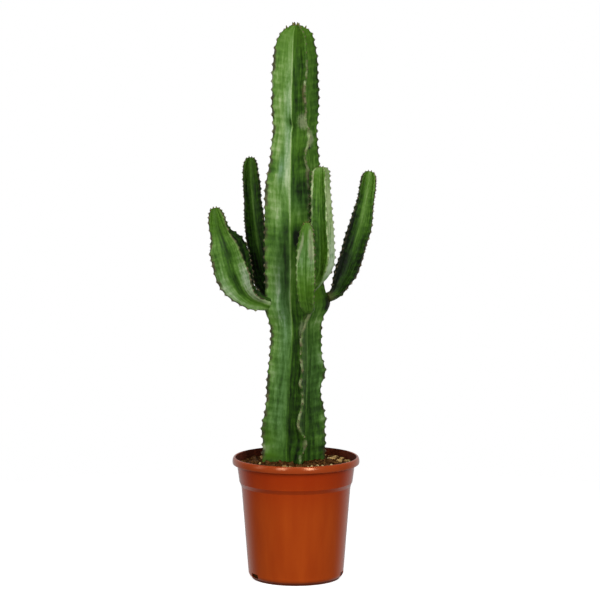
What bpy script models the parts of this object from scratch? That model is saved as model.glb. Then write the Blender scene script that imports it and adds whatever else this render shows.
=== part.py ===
"""Potted candelabra euphorbia: a four-ribbed trunk with five upright arms, in a 17 cm nursery pot.

Metres, +Z up. The origin is the centre of the pot's underside, and the plant's front faces -Y.
Every stem is a loft of one four-pointed section along a curved route, with a toothed crest on each rib
and a pair of spines on every second tooth.
"""

import math
import random
from dataclasses import dataclass, field

import bmesh
import bpy
from mathutils import Vector, noise

GAP = 0.00035  # between any two pieces that touch on the real plant

# Pot, turned round +Z. Radii and heights of its outer side.
POT_SIDES = 48
POT_HEIGHT = 0.164
RIM_R = 0.085
RIM_EDGE_R = 0.0022
RIM_WIDTH = 0.0042  # the rim's ledge, from its inner edge to where the wall goes down
RIM_SKIRT_Z = 0.1545  # underside of the bead that hangs from the rim
SKIRT_ROUND = 0.0008
SKIRT_WALL = 0.0026
SKIRT_HOLLOW = 0.0030  # depth of the groove behind the bead
BAND_TOP_R = 0.0790
BAND_FOOT = (0.0757, 0.1305)
BAND_ROUND = (0.0012, 0.0022)
STEP_FOOT = (0.0730, 0.1235)
WALL_FOOT = (0.0642, 0.0115)
CORNER = (0.0014, 0.0046)  # the bottom corner starts this far inside the wall's foot, at this height
BASE_R = 0.0590
BASE_ROUND = 0.0010
WALL = 0.0014
FLOOR = 0.0018
DRAIN_HEADINGS = (-150, -14, 30, 166)  # degrees, slots in the bottom corner
DRAIN_SLOT = (0.012, 0.016, 0.0055)  # through the corner, along it, high
DRAIN_Z = 0.0072

# Potting soil
SOIL_EDGE_Z = 0.1530
SOIL_MOUND = 0.0050  # higher by the trunk than at the wall
SOIL_RINGS = 8
SOIL_ROUGHNESS = 0.0016
SOIL_LUMPS = 95  # about so many a metre
SOIL_CRUMBS = 210  # half as high as the lumps
SOIL_SEED = 17
CHIP_COUNT = 64
CHIP_SIZE = (0.0030, 0.0075)
CHIP_WIDTH = (0.5, 0.8)  # shares of its length
CHIP_HEIGHT = (0.35, 0.6)
CHIP_TILT = 0.7
CHIP_LIFT = 0.0002
CHIP_CLEAR = 0.006  # middle of a chip from the trunk
CHIP_EDGE = 0.0046  # and from the soil's edge

# What all stems share
RIBS = 4
LINES_A_RIB = 5  # a crest's two edges, its side, the groove's floor and the next rib's side
RIB_TURN = 2 * math.pi / RIBS
RIB_HEADING = -154  # degrees, the rib that points left and a little forward
GROOVE = 0.42  # radius of the groove's floor, as a share of the crest's radius
GROOVE_GROW = 1.4  # how much more a clearance stands off a groove's floor than off a crest
FLANK_OUT = 0.62  # where a rib's side is followed half way, as shares of the crest's radius
FLANK_SIDE = 0.135
ROUND_GROOVE = 0.94  # the same where a stem is round, at its neck
CREST_HALF = 0.0020  # half the thickness of a crest
CREST_HALF_SHARE = 0.15  # the most it is of the crest's radius
SPINE_SPREAD = 0.0016
SPINE_FOOT = 0.0008
SPINE_LIFT = 0.0004
TOOTH_LEAD = 0.6  # from a crest's plain stretch to its first tooth, as a share of the pitch
DOME = 0.009  # the length of a stem's rounded end
DOME_STOPS = (0.0, 0.45, 0.8, 1.0)
TANGENT_REACH = 0.002  # a route's direction is taken over this much of it to either side
STAR_POWER = 3  # how sharply the reach of a stem's section falls away from its crests


@dataclass
class Stem:
    """A ribbed stem. Its tables go by the share of its route, from root to tip."""

    name: str
    route: list
    girth: list  # (share, crest radius)
    pitch: float  # between teeth along a crest
    tooth: float  # height of a tooth
    spine: float  # length of a spine
    flank_pitch: float  # between points along a rib's side
    first_tooth: float  # distance from the root
    neck: float = 0.0  # the length over which a round neck turns into ribs
    twist: list = field(default_factory=lambda: [(0.0, 0.0), (1.0, 0.0)])  # (share, degrees)
    bare: dict = field(default_factory=dict)  # rib to the stretch of it where arms root, without spines
    swells: dict = field(default_factory=dict)  # rib to (share, (crest outwards, each side outwards))


# The trunk. Its foot stands in the soil, and its tables go by height.
TRUNK_FOOT_Z = 0.100
TRUNK_TIP_Z = 0.7385
TRUNK_PLAIN_Z = 0.166  # below this it keeps one section, without teeth
TRUNK_ROUTE = [
    (-0.0030, 0.0, TRUNK_FOOT_Z),
    (-0.0030, 0.0, 0.166),
    (-0.0023, 0.0, 0.220),
    (-0.0010, 0.0, 0.274),
    (0.0000, 0.0, 0.330),
    (-0.0012, 0.0, 0.390),
    (-0.0020, 0.0, 0.470),
    (-0.0022, 0.0, 0.560),
    (-0.0012, 0.0, 0.630),
    (-0.0003, 0.0, 0.700),
    (0.0002, 0.0, TRUNK_TIP_Z),
]
TRUNK_GIRTH = [
    (TRUNK_FOOT_Z, 0.0425),
    (0.200, 0.0425),
    (0.240, 0.0402),
    (0.274, 0.0402),
    (0.307, 0.0376),
    (0.334, 0.0362),
    (0.350, 0.0380),
    (0.372, 0.0430),
    (0.400, 0.0437),
    (0.500, 0.0437),
    (0.528, 0.0420),
    (0.548, 0.0382),
    (0.567, 0.0354),
    (0.587, 0.0328),
    (0.604, 0.0318),
    (0.620, 0.0332),
    (0.640, 0.0344),
    (0.666, 0.0336),
    (0.693, 0.0322),
    (0.706, 0.0306),
    (0.718, 0.0272),
    (0.7255, 0.0242),
    (0.7315, 0.0190),
    (0.7358, 0.0112),
]
TRUNK_TWIST = [
    (TRUNK_FOOT_Z, -14.0),
    (0.166, -14.0),
    (0.230, -9.0),
    (0.300, -3.0),
    (0.380, 0.0),
    (TRUNK_TIP_Z, 0.0),
]

# Stretches of the trunk's ribs where arms root, by height: left, front, right, back.
ARM_ROOTS = {0: (0.350, 0.396), 1: (0.346, 0.410), 2: (0.350, 0.396), 3: (0.346, 0.392)}

# Where a rib stands out or is worn, and how it swells to carry its arms: (height, crest, each side).
TRUNK_SWELLS = {
    0: [
        (0.180, 0.0, 0.0),
        (0.188, 0.0005, 0.0),
        (0.198, 0.0025, 0.0),
        (0.210, 0.0022, 0.0),
        (0.225, 0.0, 0.0),
        (0.338, 0.0, 0.0),
        (0.350, 0.0012, 0.0010),
        (0.358, 0.0028, 0.0035),
        (0.366, 0.0035, 0.0055),
        (0.374, 0.0030, 0.0050),
        (0.382, 0.0015, 0.0025),
        (0.392, 0.0, 0.0),
    ],
    1: [
        (0.340, 0.0, 0.0),
        (0.352, 0.0008, 0.0015),
        (0.362, 0.0018, 0.0045),
        (0.372, 0.0020, 0.0058),
        (0.384, 0.0018, 0.0056),
        (0.394, 0.0014, 0.0040),
        (0.404, 0.0005, 0.0012),
        (0.414, 0.0, 0.0),
    ],
    2: [
        (0.180, 0.0, 0.0),
        (0.195, 0.0008, 0.0),
        (0.204, 0.0005, 0.0),
        (0.211, 0.0025, 0.0),
        (0.220, 0.0012, 0.0),
        (0.228, 0.0008, 0.0),
        (0.236, -0.0008, 0.0),
        (0.2432, -0.0026, 0.0),
        (0.2513, -0.0032, 0.0),
        (0.2593, -0.0030, 0.0),
        (0.266, 0.0008, 0.0),
        (0.2755, 0.0040, 0.0),
        (0.2836, 0.0036, 0.0),
        (0.291, 0.0012, 0.0),
        (0.300, 0.0, 0.0),
        (0.322, 0.0010, 0.0),
        (0.338, 0.0012, 0.0005),
        (0.348, 0.0030, 0.0020),
        (0.356, 0.0075, 0.0042),
        (0.364, 0.0098, 0.0052),
        (0.371, 0.0080, 0.0052),
        (0.380, 0.0030, 0.0035),
        (0.390, 0.0, 0.0010),
        (0.400, 0.0, 0.0),
    ],
    3: [
        (0.335, 0.0, 0.0),
        (0.346, 0.0010, 0.0020),
        (0.356, 0.0025, 0.0045),
        (0.364, 0.0028, 0.0050),
        (0.374, 0.0015, 0.0030),
        (0.390, 0.0, 0.0),
    ],
}

ARM_PITCH = 0.0092
ARM_TOOTH = 0.0017
ARM_SPINE = 0.0030
BEND_SHARE = 0.4  # the share of an arm's route in which it bends
BEND_PITCH = 0.006


def trunk_share(height):
    return (height - TRUNK_FOOT_Z) / (TRUNK_TIP_Z - TRUNK_FOOT_Z)


def by_share(table):
    """A table of the trunk's that goes by height, made to go by the share of its route."""
    return [(trunk_share(height), value) for height, value in table]


def arm(name, neck, turned_by, route, girth):
    return Stem(
        name=name,
        route=route,
        girth=girth,
        pitch=ARM_PITCH,
        tooth=ARM_TOOTH,
        spine=ARM_SPINE,
        flank_pitch=2 * ARM_PITCH,
        first_tooth=neck,
        neck=neck,
        twist=[(0.0, turned_by), (1.0, turned_by)],
    )


TRUNK = Stem(
    name="trunk",
    route=TRUNK_ROUTE,
    girth=by_share(TRUNK_GIRTH),
    pitch=0.0110,
    tooth=0.0017,
    spine=0.0030,
    flank_pitch=0.0110,
    first_tooth=TRUNK_PLAIN_Z + 0.004 - TRUNK_FOOT_Z,
    twist=by_share(TRUNK_TWIST),
    bare={rib: tuple(z - TRUNK_FOOT_Z for z in span) for rib, span in ARM_ROOTS.items()},
    swells={
        rib: by_share([(height, (crest, side)) for height, crest, side in rows])
        for rib, rows in TRUNK_SWELLS.items()
    },
)

ARMS = [
    arm(
        "arm_left_front",
        0.016,
        19.0,
        [
            (-0.0375, -0.0172, 0.3722),
            (-0.0450, -0.0210, 0.3742),
            (-0.0590, -0.0280, 0.3800),
            (-0.0705, -0.0340, 0.3910),
            (-0.0787, -0.0385, 0.4060),
            (-0.0848, -0.0418, 0.4220),
            (-0.0897, -0.0444, 0.4420),
            (-0.0950, -0.0465, 0.4580),
            (-0.1000, -0.0488, 0.4720),
            (-0.1033, -0.0505, 0.4850),
            (-0.1058, -0.0515, 0.5015),
        ],
        [
            (0.000, 0.0098),
            (0.046, 0.0113),
            (0.141, 0.0158),
            (0.237, 0.0198),
            (0.343, 0.0265),
            (0.449, 0.0309),
            (0.565, 0.0314),
            (0.639, 0.0302),
            (0.682, 0.0282),
            (0.724, 0.0234),
            (0.767, 0.0190),
            (0.820, 0.0167),
            (0.894, 0.0151),
            (0.947, 0.0128),
            (0.984, 0.0086),
        ],
    ),
    arm(
        "arm_back_left",
        0.022,
        19.0,
        [
            (-0.0195, 0.0350, 0.3620),
            (-0.0265, 0.0410, 0.3690),
            (-0.0360, 0.0510, 0.3870),
            (-0.0450, 0.0605, 0.4130),
            (-0.0523, 0.0670, 0.4450),
            (-0.0570, 0.0705, 0.4820),
            (-0.0596, 0.0730, 0.5160),
            (-0.0613, 0.0742, 0.5430),
            (-0.0616, 0.0745, 0.5600),
        ],
        [
            (0.000, 0.0075),
            (0.047, 0.0098),
            (0.161, 0.0165),
            (0.296, 0.0196),
            (0.451, 0.0192),
            (0.586, 0.0186),
            (0.669, 0.0168),
            (0.725, 0.0153),
            (0.782, 0.0158),
            (0.855, 0.0149),
            (0.927, 0.0129),
            (0.964, 0.0112),
            (0.988, 0.0080),
        ],
    ),
    arm(
        "arm_right_front",
        0.032,
        0.0,
        [
            (0.0175, -0.0340, 0.3900),
            (0.0215, -0.0368, 0.3955),
            (0.0272, -0.0388, 0.4030),
            (0.0325, -0.0412, 0.4155),
            (0.0350, -0.0440, 0.4370),
            (0.0345, -0.0460, 0.4620),
            (0.0333, -0.0475, 0.4920),
            (0.0326, -0.0490, 0.5250),
            (0.0330, -0.0500, 0.5550),
        ],
        [
            (0.000, 0.0065),
            (0.100, 0.0085),
            (0.170, 0.0110),
            (0.235, 0.0143),
            (0.305, 0.0164),
            (0.448, 0.0168),
            (0.581, 0.0162),
            (0.713, 0.0150),
            (0.823, 0.0139),
            (0.934, 0.0127),
            (0.972, 0.0118),
            (0.990, 0.0084),
        ],
    ),
    arm(
        "arm_front_short",
        0.020,
        19.0,
        [
            (0.0172, -0.0345, 0.3670),
            (0.0162, -0.0430, 0.3715),
            (0.0142, -0.0535, 0.3825),
            (0.0127, -0.0612, 0.4000),
            (0.0123, -0.0665, 0.4250),
            (0.0132, -0.0695, 0.4520),
            (0.0145, -0.0700, 0.4840),
        ],
        [
            (0.000, 0.0078),
            (0.134, 0.0115),
            (0.300, 0.0147),
            (0.500, 0.0164),
            (0.711, 0.0157),
            (0.817, 0.0134),
            (0.900, 0.0119),
            (0.944, 0.0099),
            (0.983, 0.0062),
        ],
    ),
    arm(
        "arm_right",
        0.018,
        19.0,
        [
            (0.0420, 0.0205, 0.3755),
            (0.0490, 0.0240, 0.3785),
            (0.0560, 0.0278, 0.3855),
            (0.0615, 0.0310, 0.3965),
            (0.0680, 0.0345, 0.4110),
            (0.0768, 0.0385, 0.4370),
            (0.0872, 0.0425, 0.4760),
            (0.0934, 0.0445, 0.5060),
            (0.0990, 0.0465, 0.5430),
        ],
        [
            (0.000, 0.0068),
            (0.038, 0.0080),
            (0.102, 0.0122),
            (0.176, 0.0168),
            (0.250, 0.0203),
            (0.366, 0.0208),
            (0.577, 0.0207),
            (0.651, 0.0194),
            (0.720, 0.0171),
            (0.789, 0.0149),
            (0.863, 0.0147),
            (0.926, 0.0134),
            (0.968, 0.0114),
            (0.989, 0.0080),
        ],
    ),
]


def clear_scene():
    for old in list(bpy.data.objects):
        bpy.data.objects.remove(old, do_unlink=True)


def collection(name):
    made = bpy.data.collections.new(name)
    bpy.context.scene.collection.children.link(made)
    return made


def material(name, colour, roughness, metallic=0.0):
    """A plain Principled finish. The colour is linear RGB."""
    made = bpy.data.materials.new(name)
    made.use_nodes = True
    shader = made.node_tree.nodes["Principled BSDF"]
    shader.inputs["Base Color"].default_value = (*colour, 1.0)
    shader.inputs["Roughness"].default_value = roughness
    shader.inputs["Metallic"].default_value = metallic
    made.diffuse_color = (*colour, 1.0)
    return made


def solid(name, mesh, group, finish=None):
    made = bpy.data.objects.new(name, mesh)
    group.objects.link(made)
    if finish:
        mesh.materials.append(finish)
    return made


def as_cutter(helper):
    helper.hide_render = True
    helper.display_type = "WIRE"
    return helper


def block(name, group, size, turn, place):
    bpy.ops.mesh.primitive_cube_add(size=1.0)
    made = bpy.context.object
    made.name = name
    for holder in list(made.users_collection):
        holder.objects.unlink(made)
    group.objects.link(made)
    made.dimensions = size
    made.rotation_euler = turn
    made.location = place
    return made


def cut(piece, cutter):
    step = piece.modifiers.new("cut", "BOOLEAN")
    step.operation = "DIFFERENCE"
    step.solver = "EXACT"
    step.object = cutter


def made_real(piece):
    """The piece's own mesh becomes what its modifiers make of it."""
    graph = bpy.context.evaluated_depsgraph_get()
    mesh = bpy.data.meshes.new_from_object(piece.evaluated_get(graph))
    piece.modifiers.clear()
    piece.data = mesh


def arc(centre, radius, start, end, steps):
    """Points on an arc of a profile, by degrees from +X towards +Z."""
    turn = (end - start) / steps
    angles = [math.radians(start + turn * i) for i in range(steps + 1)]
    return [(centre[0] + radius * math.cos(a), centre[1] + radius * math.sin(a)) for a in angles]


def turned(name, profile, group, finish):
    """A profile of (radius, height) turned round +Z. It runs down its outer side and up its inner one."""
    mesh = bpy.data.meshes.new(name)
    points = [(r, 0.0, z) for r, z in profile]
    open_ended = profile[0][0] == 0.0 and profile[-1][0] == 0.0
    count = len(points)
    edges = [(i, (i + 1) % count) for i in range(count - open_ended)]
    mesh.from_pydata(points, edges, [])
    piece = solid(name, mesh, group, finish)
    screw = piece.modifiers.new("turn", "SCREW")
    screw.axis = "Z"
    screw.angle = 2 * math.pi
    screw.steps = POT_SIDES
    screw.render_steps = POT_SIDES
    screw.use_merge_vertices = True
    screw.merge_threshold = 0.00001
    screw.use_smooth_shade = True
    made_real(piece)
    mesh = piece.data
    mesh.shade_smooth()
    mesh.set_sharp_from_angle(angle=math.radians(35))
    return piece


def between(table, at):
    """The table's value at a place, on a smooth curve through its rows."""
    rows = [(place, Vector(value) if isinstance(value, tuple) else value) for place, value in table]
    if at <= rows[0][0]:
        return rows[0][1]
    if at >= rows[-1][0]:
        return rows[-1][1]
    n = next(i for i in range(1, len(rows)) if rows[i][0] >= at)
    (x0, y0), (x1, y1) = rows[n - 1], rows[n]
    before = rows[max(n - 2, 0)]
    after = rows[min(n + 1, len(rows) - 1)]
    span = x1 - x0
    slope0 = (y1 - before[1]) / (x1 - before[0]) * span
    slope1 = (after[1] - y0) / (after[0] - x0) * span
    t = (at - x0) / span
    t2, t3 = t * t, t * t * t
    ends = y0 * (2 * t3 - 3 * t2 + 1) + y1 * (3 * t2 - 2 * t3)
    return ends + slope0 * (t3 - 2 * t2 + t) + slope1 * (t3 - t2)


def eased(share):
    share = min(max(share, 0.0), 1.0)
    return share * share * (3 - 2 * share)


class Form:
    """Where the points of a stem lie, by rib, distance from the root, and place in the section."""

    def __init__(self, stem, grow=0.0):
        self.stem = stem
        self.grow = grow
        points = [Vector(p) for p in stem.route]
        self.path = [(0.0, points[0])]
        for a, b in zip(points, points[1:]):
            self.path.append((self.path[-1][0] + (b - a).length, b))
        self.length = self.path[-1][0]
        self.end = stem.girth[-1][0] * self.length

    def frame(self, at):
        """The route's point, and the turn from upright to along the route."""
        low = max(at - TANGENT_REACH, 0.0)
        high = min(at + TANGENT_REACH, self.length)
        along = (between(self.path, high) - between(self.path, low)).normalized()
        return between(self.path, at), Vector((0.0, 0.0, 1.0)).rotation_difference(along)

    def girth(self, at):
        return between(self.stem.girth, at / self.length)

    def heading(self, rib, at):
        twist = between(self.stem.twist, at / self.length)
        return math.radians(RIB_HEADING + twist) + RIB_TURN * rib

    def roundness(self, at):
        if not self.stem.neck:
            return 0.0
        return 1.0 - eased(at / self.stem.neck)

    def swell(self, rib, at):
        """How far growth pushes a rib's crest out, and its sides apart."""
        table = self.stem.swells.get(rib % RIBS)
        return between(table, at / self.length) if table else (0.0, 0.0)

    def place(self, rib, at, out, side, lift=0.0):
        """A point out along a rib and to its side, seen along the stem."""
        point, turn = self.frame(at)
        a = self.heading(rib, at)
        flat = Vector(
            (out * math.cos(a) - side * math.sin(a), out * math.sin(a) + side * math.cos(a), lift)
        )
        return point + turn @ flat

    def crest(self, rib, at, sign, raised):
        radius = self.girth(at)
        swell_out, swell_side = self.swell(rib, at)
        half = min(CREST_HALF, CREST_HALF_SHARE * radius) + swell_side
        return self.place(rib, at, radius + raised + swell_out + self.grow, sign * (half + self.grow))

    def flank(self, rib, at, sign):
        radius = self.girth(at)
        share = self.roundness(at)
        eighth = RIB_TURN / 4
        out = radius * (FLANK_OUT + (math.cos(eighth) - FLANK_OUT) * share)
        side = radius * (FLANK_SIDE + (math.sin(eighth) - FLANK_SIDE) * share) + self.swell(rib, at)[1]
        return self.place(rib, at, out + self.grow * share, sign * (side + self.grow))

    def groove(self, rib, at):
        radius = self.girth(at)
        floor = radius * (GROOVE + (ROUND_GROOVE - GROOVE) * self.roundness(at))
        half = math.sqrt(0.5) * (floor + self.grow * GROOVE_GROW)
        return self.place(rib, at, half, half)

    def spine_tip(self, rib, at, sign):
        stem = self.stem
        out = self.girth(at) + self.swell(rib, at)[0] + stem.tooth / 2 + stem.spine
        return self.place(rib, at, out, sign * SPINE_SPREAD, lift=SPINE_LIFT)

    def teeth(self, rib):
        """(distance, has spines) of each tooth of a rib. Neighbouring ribs alternate."""
        stem = self.stem
        at = stem.first_tooth + stem.pitch * 0.5 * (rib % 2)
        last = self.end - DOME
        low, high = stem.bare.get(rib, (0.0, 0.0))
        count = 0
        while at + 2 * SPINE_FOOT < last:
            yield at, count % 2 == 0 and not low < at < high
            at += stem.pitch
            count += 1


def crest_stops(form, rib, spines):
    """(distance, how far it stands out, starts a pair of spines) along a crest."""
    stem = form.stem
    plain = stem.first_tooth - TOOTH_LEAD * stem.pitch
    stops = [(at, 0.0, False) for at in even_stops(0.0, plain, plain if stem is TRUNK else BEND_PITCH)]
    half = stem.tooth / 2
    for at, spined in form.teeth(rib):
        if spined and spines:
            stops.append((at - SPINE_FOOT, half, True))
            stops.append((at + SPINE_FOOT, half, False))
        else:
            stops.append((at, half, False))
        stops.append((at + stem.pitch / 2, -half, False))
    while stops[-1][0] > form.end - DOME:
        stops.pop()
    stops += [(form.end - DOME * (1 - share), 0.0, False) for share in DOME_STOPS]
    return stops


def even_stops(start, end, pitch):
    count = max(1, round((end - start) / pitch))
    return [start + (end - start) * i / count for i in range(count + 1)]


def side_stops(form):
    """Distances along the lines between the crests, closer where an arm bends."""
    stem = form.stem
    last = form.end - DOME
    if stem is TRUNK:
        stops = [0.0] + even_stops(stem.first_tooth - TOOTH_LEAD * stem.pitch, last, stem.flank_pitch)
    else:
        bend = BEND_SHARE * form.length
        stops = even_stops(0.0, bend, BEND_PITCH)[:-1] + even_stops(bend, last, stem.flank_pitch)
    return stops + [form.end - DOME * (1 - share) for share in DOME_STOPS[1:]]


def stem_mesh(stem, grow=0.0, spines=True):
    """The loft: twenty lines run up the stem, with a strip of triangles between each two neighbours."""
    form = Form(stem, grow)
    beside = side_stops(form)
    bm = bmesh.new()
    lines = []
    for rib in range(RIBS):
        stops = crest_stops(form, rib, spines)
        for sign in (-1, 1):
            lines.append(
                [(at, bm.verts.new(form.crest(rib, at, sign, up)), spined) for at, up, spined in stops]
            )
        lines.append([(at, bm.verts.new(form.flank(rib, at, 1)), False) for at in beside])
        lines.append([(at, bm.verts.new(form.groove(rib, at)), False) for at in beside])
        lines.append([(at, bm.verts.new(form.flank(rib + 1, at, -1)), False) for at in beside])
    for n, line in enumerate(lines):
        following = lines[(n + 1) % len(lines)]
        rib = n // LINES_A_RIB if n % LINES_A_RIB == 0 else None
        join_lines(bm, form, line, following, rib)
    root = bm.verts.new(form.place(0, 0.0, 0.0, 0.0, lift=-grow))
    tip = bm.verts.new(Vector(stem.route[-1]) + Vector((0.0, 0.0, grow)))
    for line, following in zip(lines, lines[1:] + lines[:1]):
        bm.faces.new((root, following[0][1], line[0][1]))
        bm.faces.new((tip, line[-1][1], following[-1][1]))
    mesh = bpy.data.meshes.new(stem.name)
    bm.to_mesh(mesh)
    bm.free()
    return mesh


def join_lines(bm, form, right, left, crest_rib):
    """Triangles between two lines, each taking the nearer next point.

    Across a crest its two lines match, and each triangle at a spined tooth is raised to a spine.
    """
    i = j = 0
    while i < len(right) - 1 or j < len(left) - 1:
        if i == len(right) - 1 or j == len(left) - 1:
            step_right = j == len(left) - 1
        elif crest_rib is not None:
            step_right = i == j
        else:
            across = (right[i + 1][1].co - left[j][1].co).length
            step_right = across <= (left[j + 1][1].co - right[i][1].co).length
        if step_right:
            corners = (right[i][1], left[j][1], right[i + 1][1])
            at, following = right[i], right[i + 1]
            i += 1
        else:
            corners = (right[i][1], left[j][1], left[j + 1][1])
            at, following = left[j], left[j + 1]
            j += 1
        if crest_rib is None or not at[2]:
            bm.faces.new(corners)
            continue
        side = -1 if step_right else 1
        tip = bm.verts.new(form.spine_tip(crest_rib, (at[0] + following[0]) / 2, side))
        for a, b in zip(corners, corners[1:] + corners[:1]):
            bm.faces.new((a, b, tip))


def inner_wall():
    """(radius, height) up the pot's inner side, from the floor to the rim."""
    return [
        (BASE_R - WALL, FLOOR),
        (WALL_FOOT[0] - 2 * WALL, FLOOR + CORNER[1]),
        (WALL_FOOT[0] - WALL, WALL_FOOT[1]),
        (STEP_FOOT[0] - WALL, STEP_FOOT[1]),
        (BAND_FOOT[0] - WALL, BAND_FOOT[1] + WALL),
        (BAND_TOP_R - WALL, RIM_SKIRT_Z),
        (RIM_R - RIM_WIDTH, POT_HEIGHT - WALL),
    ]


def pot_profile():
    rim = arc((RIM_R - RIM_EDGE_R, POT_HEIGHT - RIM_EDGE_R), RIM_EDGE_R, 90, 0, 3)
    skirt = [
        (RIM_R, RIM_SKIRT_Z + SKIRT_ROUND),
        (RIM_R - SKIRT_ROUND, RIM_SKIRT_Z),
        (RIM_R - SKIRT_WALL + SKIRT_ROUND, RIM_SKIRT_Z),
        (RIM_R - SKIRT_WALL, RIM_SKIRT_Z + SKIRT_HOLLOW),
        (BAND_TOP_R, RIM_SKIRT_Z + SKIRT_HOLLOW),
    ]
    side = [
        BAND_FOOT,
        (BAND_FOOT[0] - BAND_ROUND[0], BAND_FOOT[1] - BAND_ROUND[1]),
        STEP_FOOT,
        WALL_FOOT,
    ]
    corner = [
        (WALL_FOOT[0] - CORNER[0], CORNER[1]),
        (BASE_R + BASE_ROUND, BASE_ROUND),
        (BASE_R - BASE_ROUND, 0.0),
        (0.0, 0.0),
    ]
    inside = [(0.0, FLOOR)] + inner_wall()
    return rim + skirt + side + corner + inside


def make_pot(group, cutters, finish):
    pot = turned("pot", pot_profile(), group, finish)
    middle = WALL_FOOT[0] - CORNER[0]
    for number, heading in enumerate(DRAIN_HEADINGS):
        a = math.radians(heading)
        place = (middle * math.cos(a), middle * math.sin(a), DRAIN_Z)
        slot = block(f"drain_slot_{number}", cutters, DRAIN_SLOT, (0.0, 0.0, a), place)
        cut(pot, as_cutter(slot))


def star_reach(x, y):
    """Roughly how far the trunk's foot reaches from its middle, towards a point."""
    foot = TRUNK_ROUTE[0]
    turn = math.atan2(y - foot[1], x - foot[0]) - math.radians(RIB_HEADING + TRUNK_TWIST[0][1])
    share = abs(math.cos(turn * RIBS / 2)) ** STAR_POWER
    return TRUNK_GIRTH[0][1] * (GROOVE + (1 - GROOVE) * share)


def soil_height(x, y):
    r = math.hypot(x, y)
    edge = inner_wall()[5][0]
    mound = SOIL_MOUND * (1 - (r / edge) ** 2)
    spot = Vector((x, y, 0.0))
    rough = noise.noise(spot * SOIL_LUMPS) + 0.5 * noise.noise(spot * SOIL_CRUMBS)
    return SOIL_EDGE_Z + mound + SOIL_ROUGHNESS * rough


def make_soil(group, clearance, finish):
    wall = inner_wall()
    low = [(r - GAP, z + (GAP if z <= FLOOR else 0.0)) for r, z in reversed(wall[:5])]
    rise = (SOIL_EDGE_Z - wall[4][1]) / (wall[5][1] - wall[4][1])
    edge_r = wall[4][0] + (wall[5][0] - wall[4][0]) * rise - GAP
    rings = [(edge_r * i / SOIL_RINGS, SOIL_EDGE_Z) for i in range(SOIL_RINGS + 1)]
    profile = rings + low + [(0.0, FLOOR + GAP)]
    soil = turned("soil", profile, group, finish)
    for vertex in soil.data.vertices:
        x, y, z = vertex.co
        on_top = z > SOIL_EDGE_Z - GAP
        if on_top and math.hypot(x, y) < edge_r - GAP:
            vertex.co.z = soil_height(x, y)
    draw = random.Random(SOIL_SEED)
    chips = collection("soil_chips")
    placed = 0
    while placed < CHIP_COUNT:
        size = draw.uniform(*CHIP_SIZE)
        heading = draw.uniform(-math.pi, math.pi)
        r = (edge_r - CHIP_EDGE) * math.sqrt(draw.uniform(0.0, 1.0))
        x, y = r * math.cos(heading), r * math.sin(heading)
        away = math.hypot(x - TRUNK_ROUTE[0][0], y - TRUNK_ROUTE[0][1])
        if away < star_reach(x, y) + CHIP_CLEAR:
            continue
        box = (size, size * draw.uniform(*CHIP_WIDTH), size * draw.uniform(*CHIP_HEIGHT))
        tilts = [draw.uniform(-CHIP_TILT, CHIP_TILT) for axis in "xy"]
        turn = (*tilts, draw.uniform(0.0, math.pi))
        block(f"chip_{placed}", chips, box, turn, (x, y, soil_height(x, y) + CHIP_LIFT))
        placed += 1
    union = soil.modifiers.new("chips", "BOOLEAN")
    union.operation = "UNION"
    union.solver = "EXACT"
    union.operand_type = "COLLECTION"
    union.collection = chips
    made_real(soil)
    for chip in list(chips.objects):
        bpy.data.objects.remove(chip, do_unlink=True)
    bpy.data.collections.remove(chips)
    cut(soil, clearance)


def main():
    clear_scene()
    plant = collection("potted_candelabra_euphorbia")
    cutters = collection("cutters")
    terracotta = material("moulded_polypropylene_terracotta", (0.42, 0.075, 0.014), 0.35)
    peat = material("potting_soil", (0.045, 0.022, 0.010), 0.95)
    green = material("euphorbia_skin", (0.085, 0.19, 0.035), 0.5)

    clearance = as_cutter(solid("trunk_clearance", stem_mesh(TRUNK, GAP, False), cutters))
    make_pot(plant, cutters, terracotta)
    make_soil(plant, clearance, peat)
    solid("trunk", stem_mesh(TRUNK), plant, green)
    for stem in ARMS:
        cut(solid(stem.name, stem_mesh(stem), plant, green), clearance)


main()
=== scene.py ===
"""The looks of the potted candelabra euphorbia: its waxy ribbed stems with every spine, the potting
soil with bark and pumice, and the moulded nursery pot. Metres, +Z up, the plant's front faces -Y.
"""

import math
import random
from contextlib import contextmanager
from dataclasses import dataclass, field
from functools import partial

import bpy
import numpy as np
from mathutils import Euler, Matrix, Vector, noise


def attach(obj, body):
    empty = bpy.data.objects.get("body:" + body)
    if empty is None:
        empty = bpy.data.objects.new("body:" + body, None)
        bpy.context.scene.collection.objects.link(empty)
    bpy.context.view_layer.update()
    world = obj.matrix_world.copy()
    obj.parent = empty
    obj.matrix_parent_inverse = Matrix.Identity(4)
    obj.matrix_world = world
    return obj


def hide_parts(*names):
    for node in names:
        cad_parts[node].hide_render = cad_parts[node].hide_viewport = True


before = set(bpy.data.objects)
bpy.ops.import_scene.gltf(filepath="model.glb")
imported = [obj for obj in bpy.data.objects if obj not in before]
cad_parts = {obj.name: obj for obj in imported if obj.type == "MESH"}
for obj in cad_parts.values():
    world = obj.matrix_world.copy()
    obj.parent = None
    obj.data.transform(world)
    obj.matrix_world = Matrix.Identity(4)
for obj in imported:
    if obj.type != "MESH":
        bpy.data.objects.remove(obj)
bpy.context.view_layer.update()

# Camera, at the photograph's angle
CAMERA_PLACE = (0.0054, -3.6, 0.786)
CAMERA_PITCH = 83.48  # degrees, 90 looks level
CAMERA_LENS = 163.5
CAMERA_SENSOR = 36.0

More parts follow.
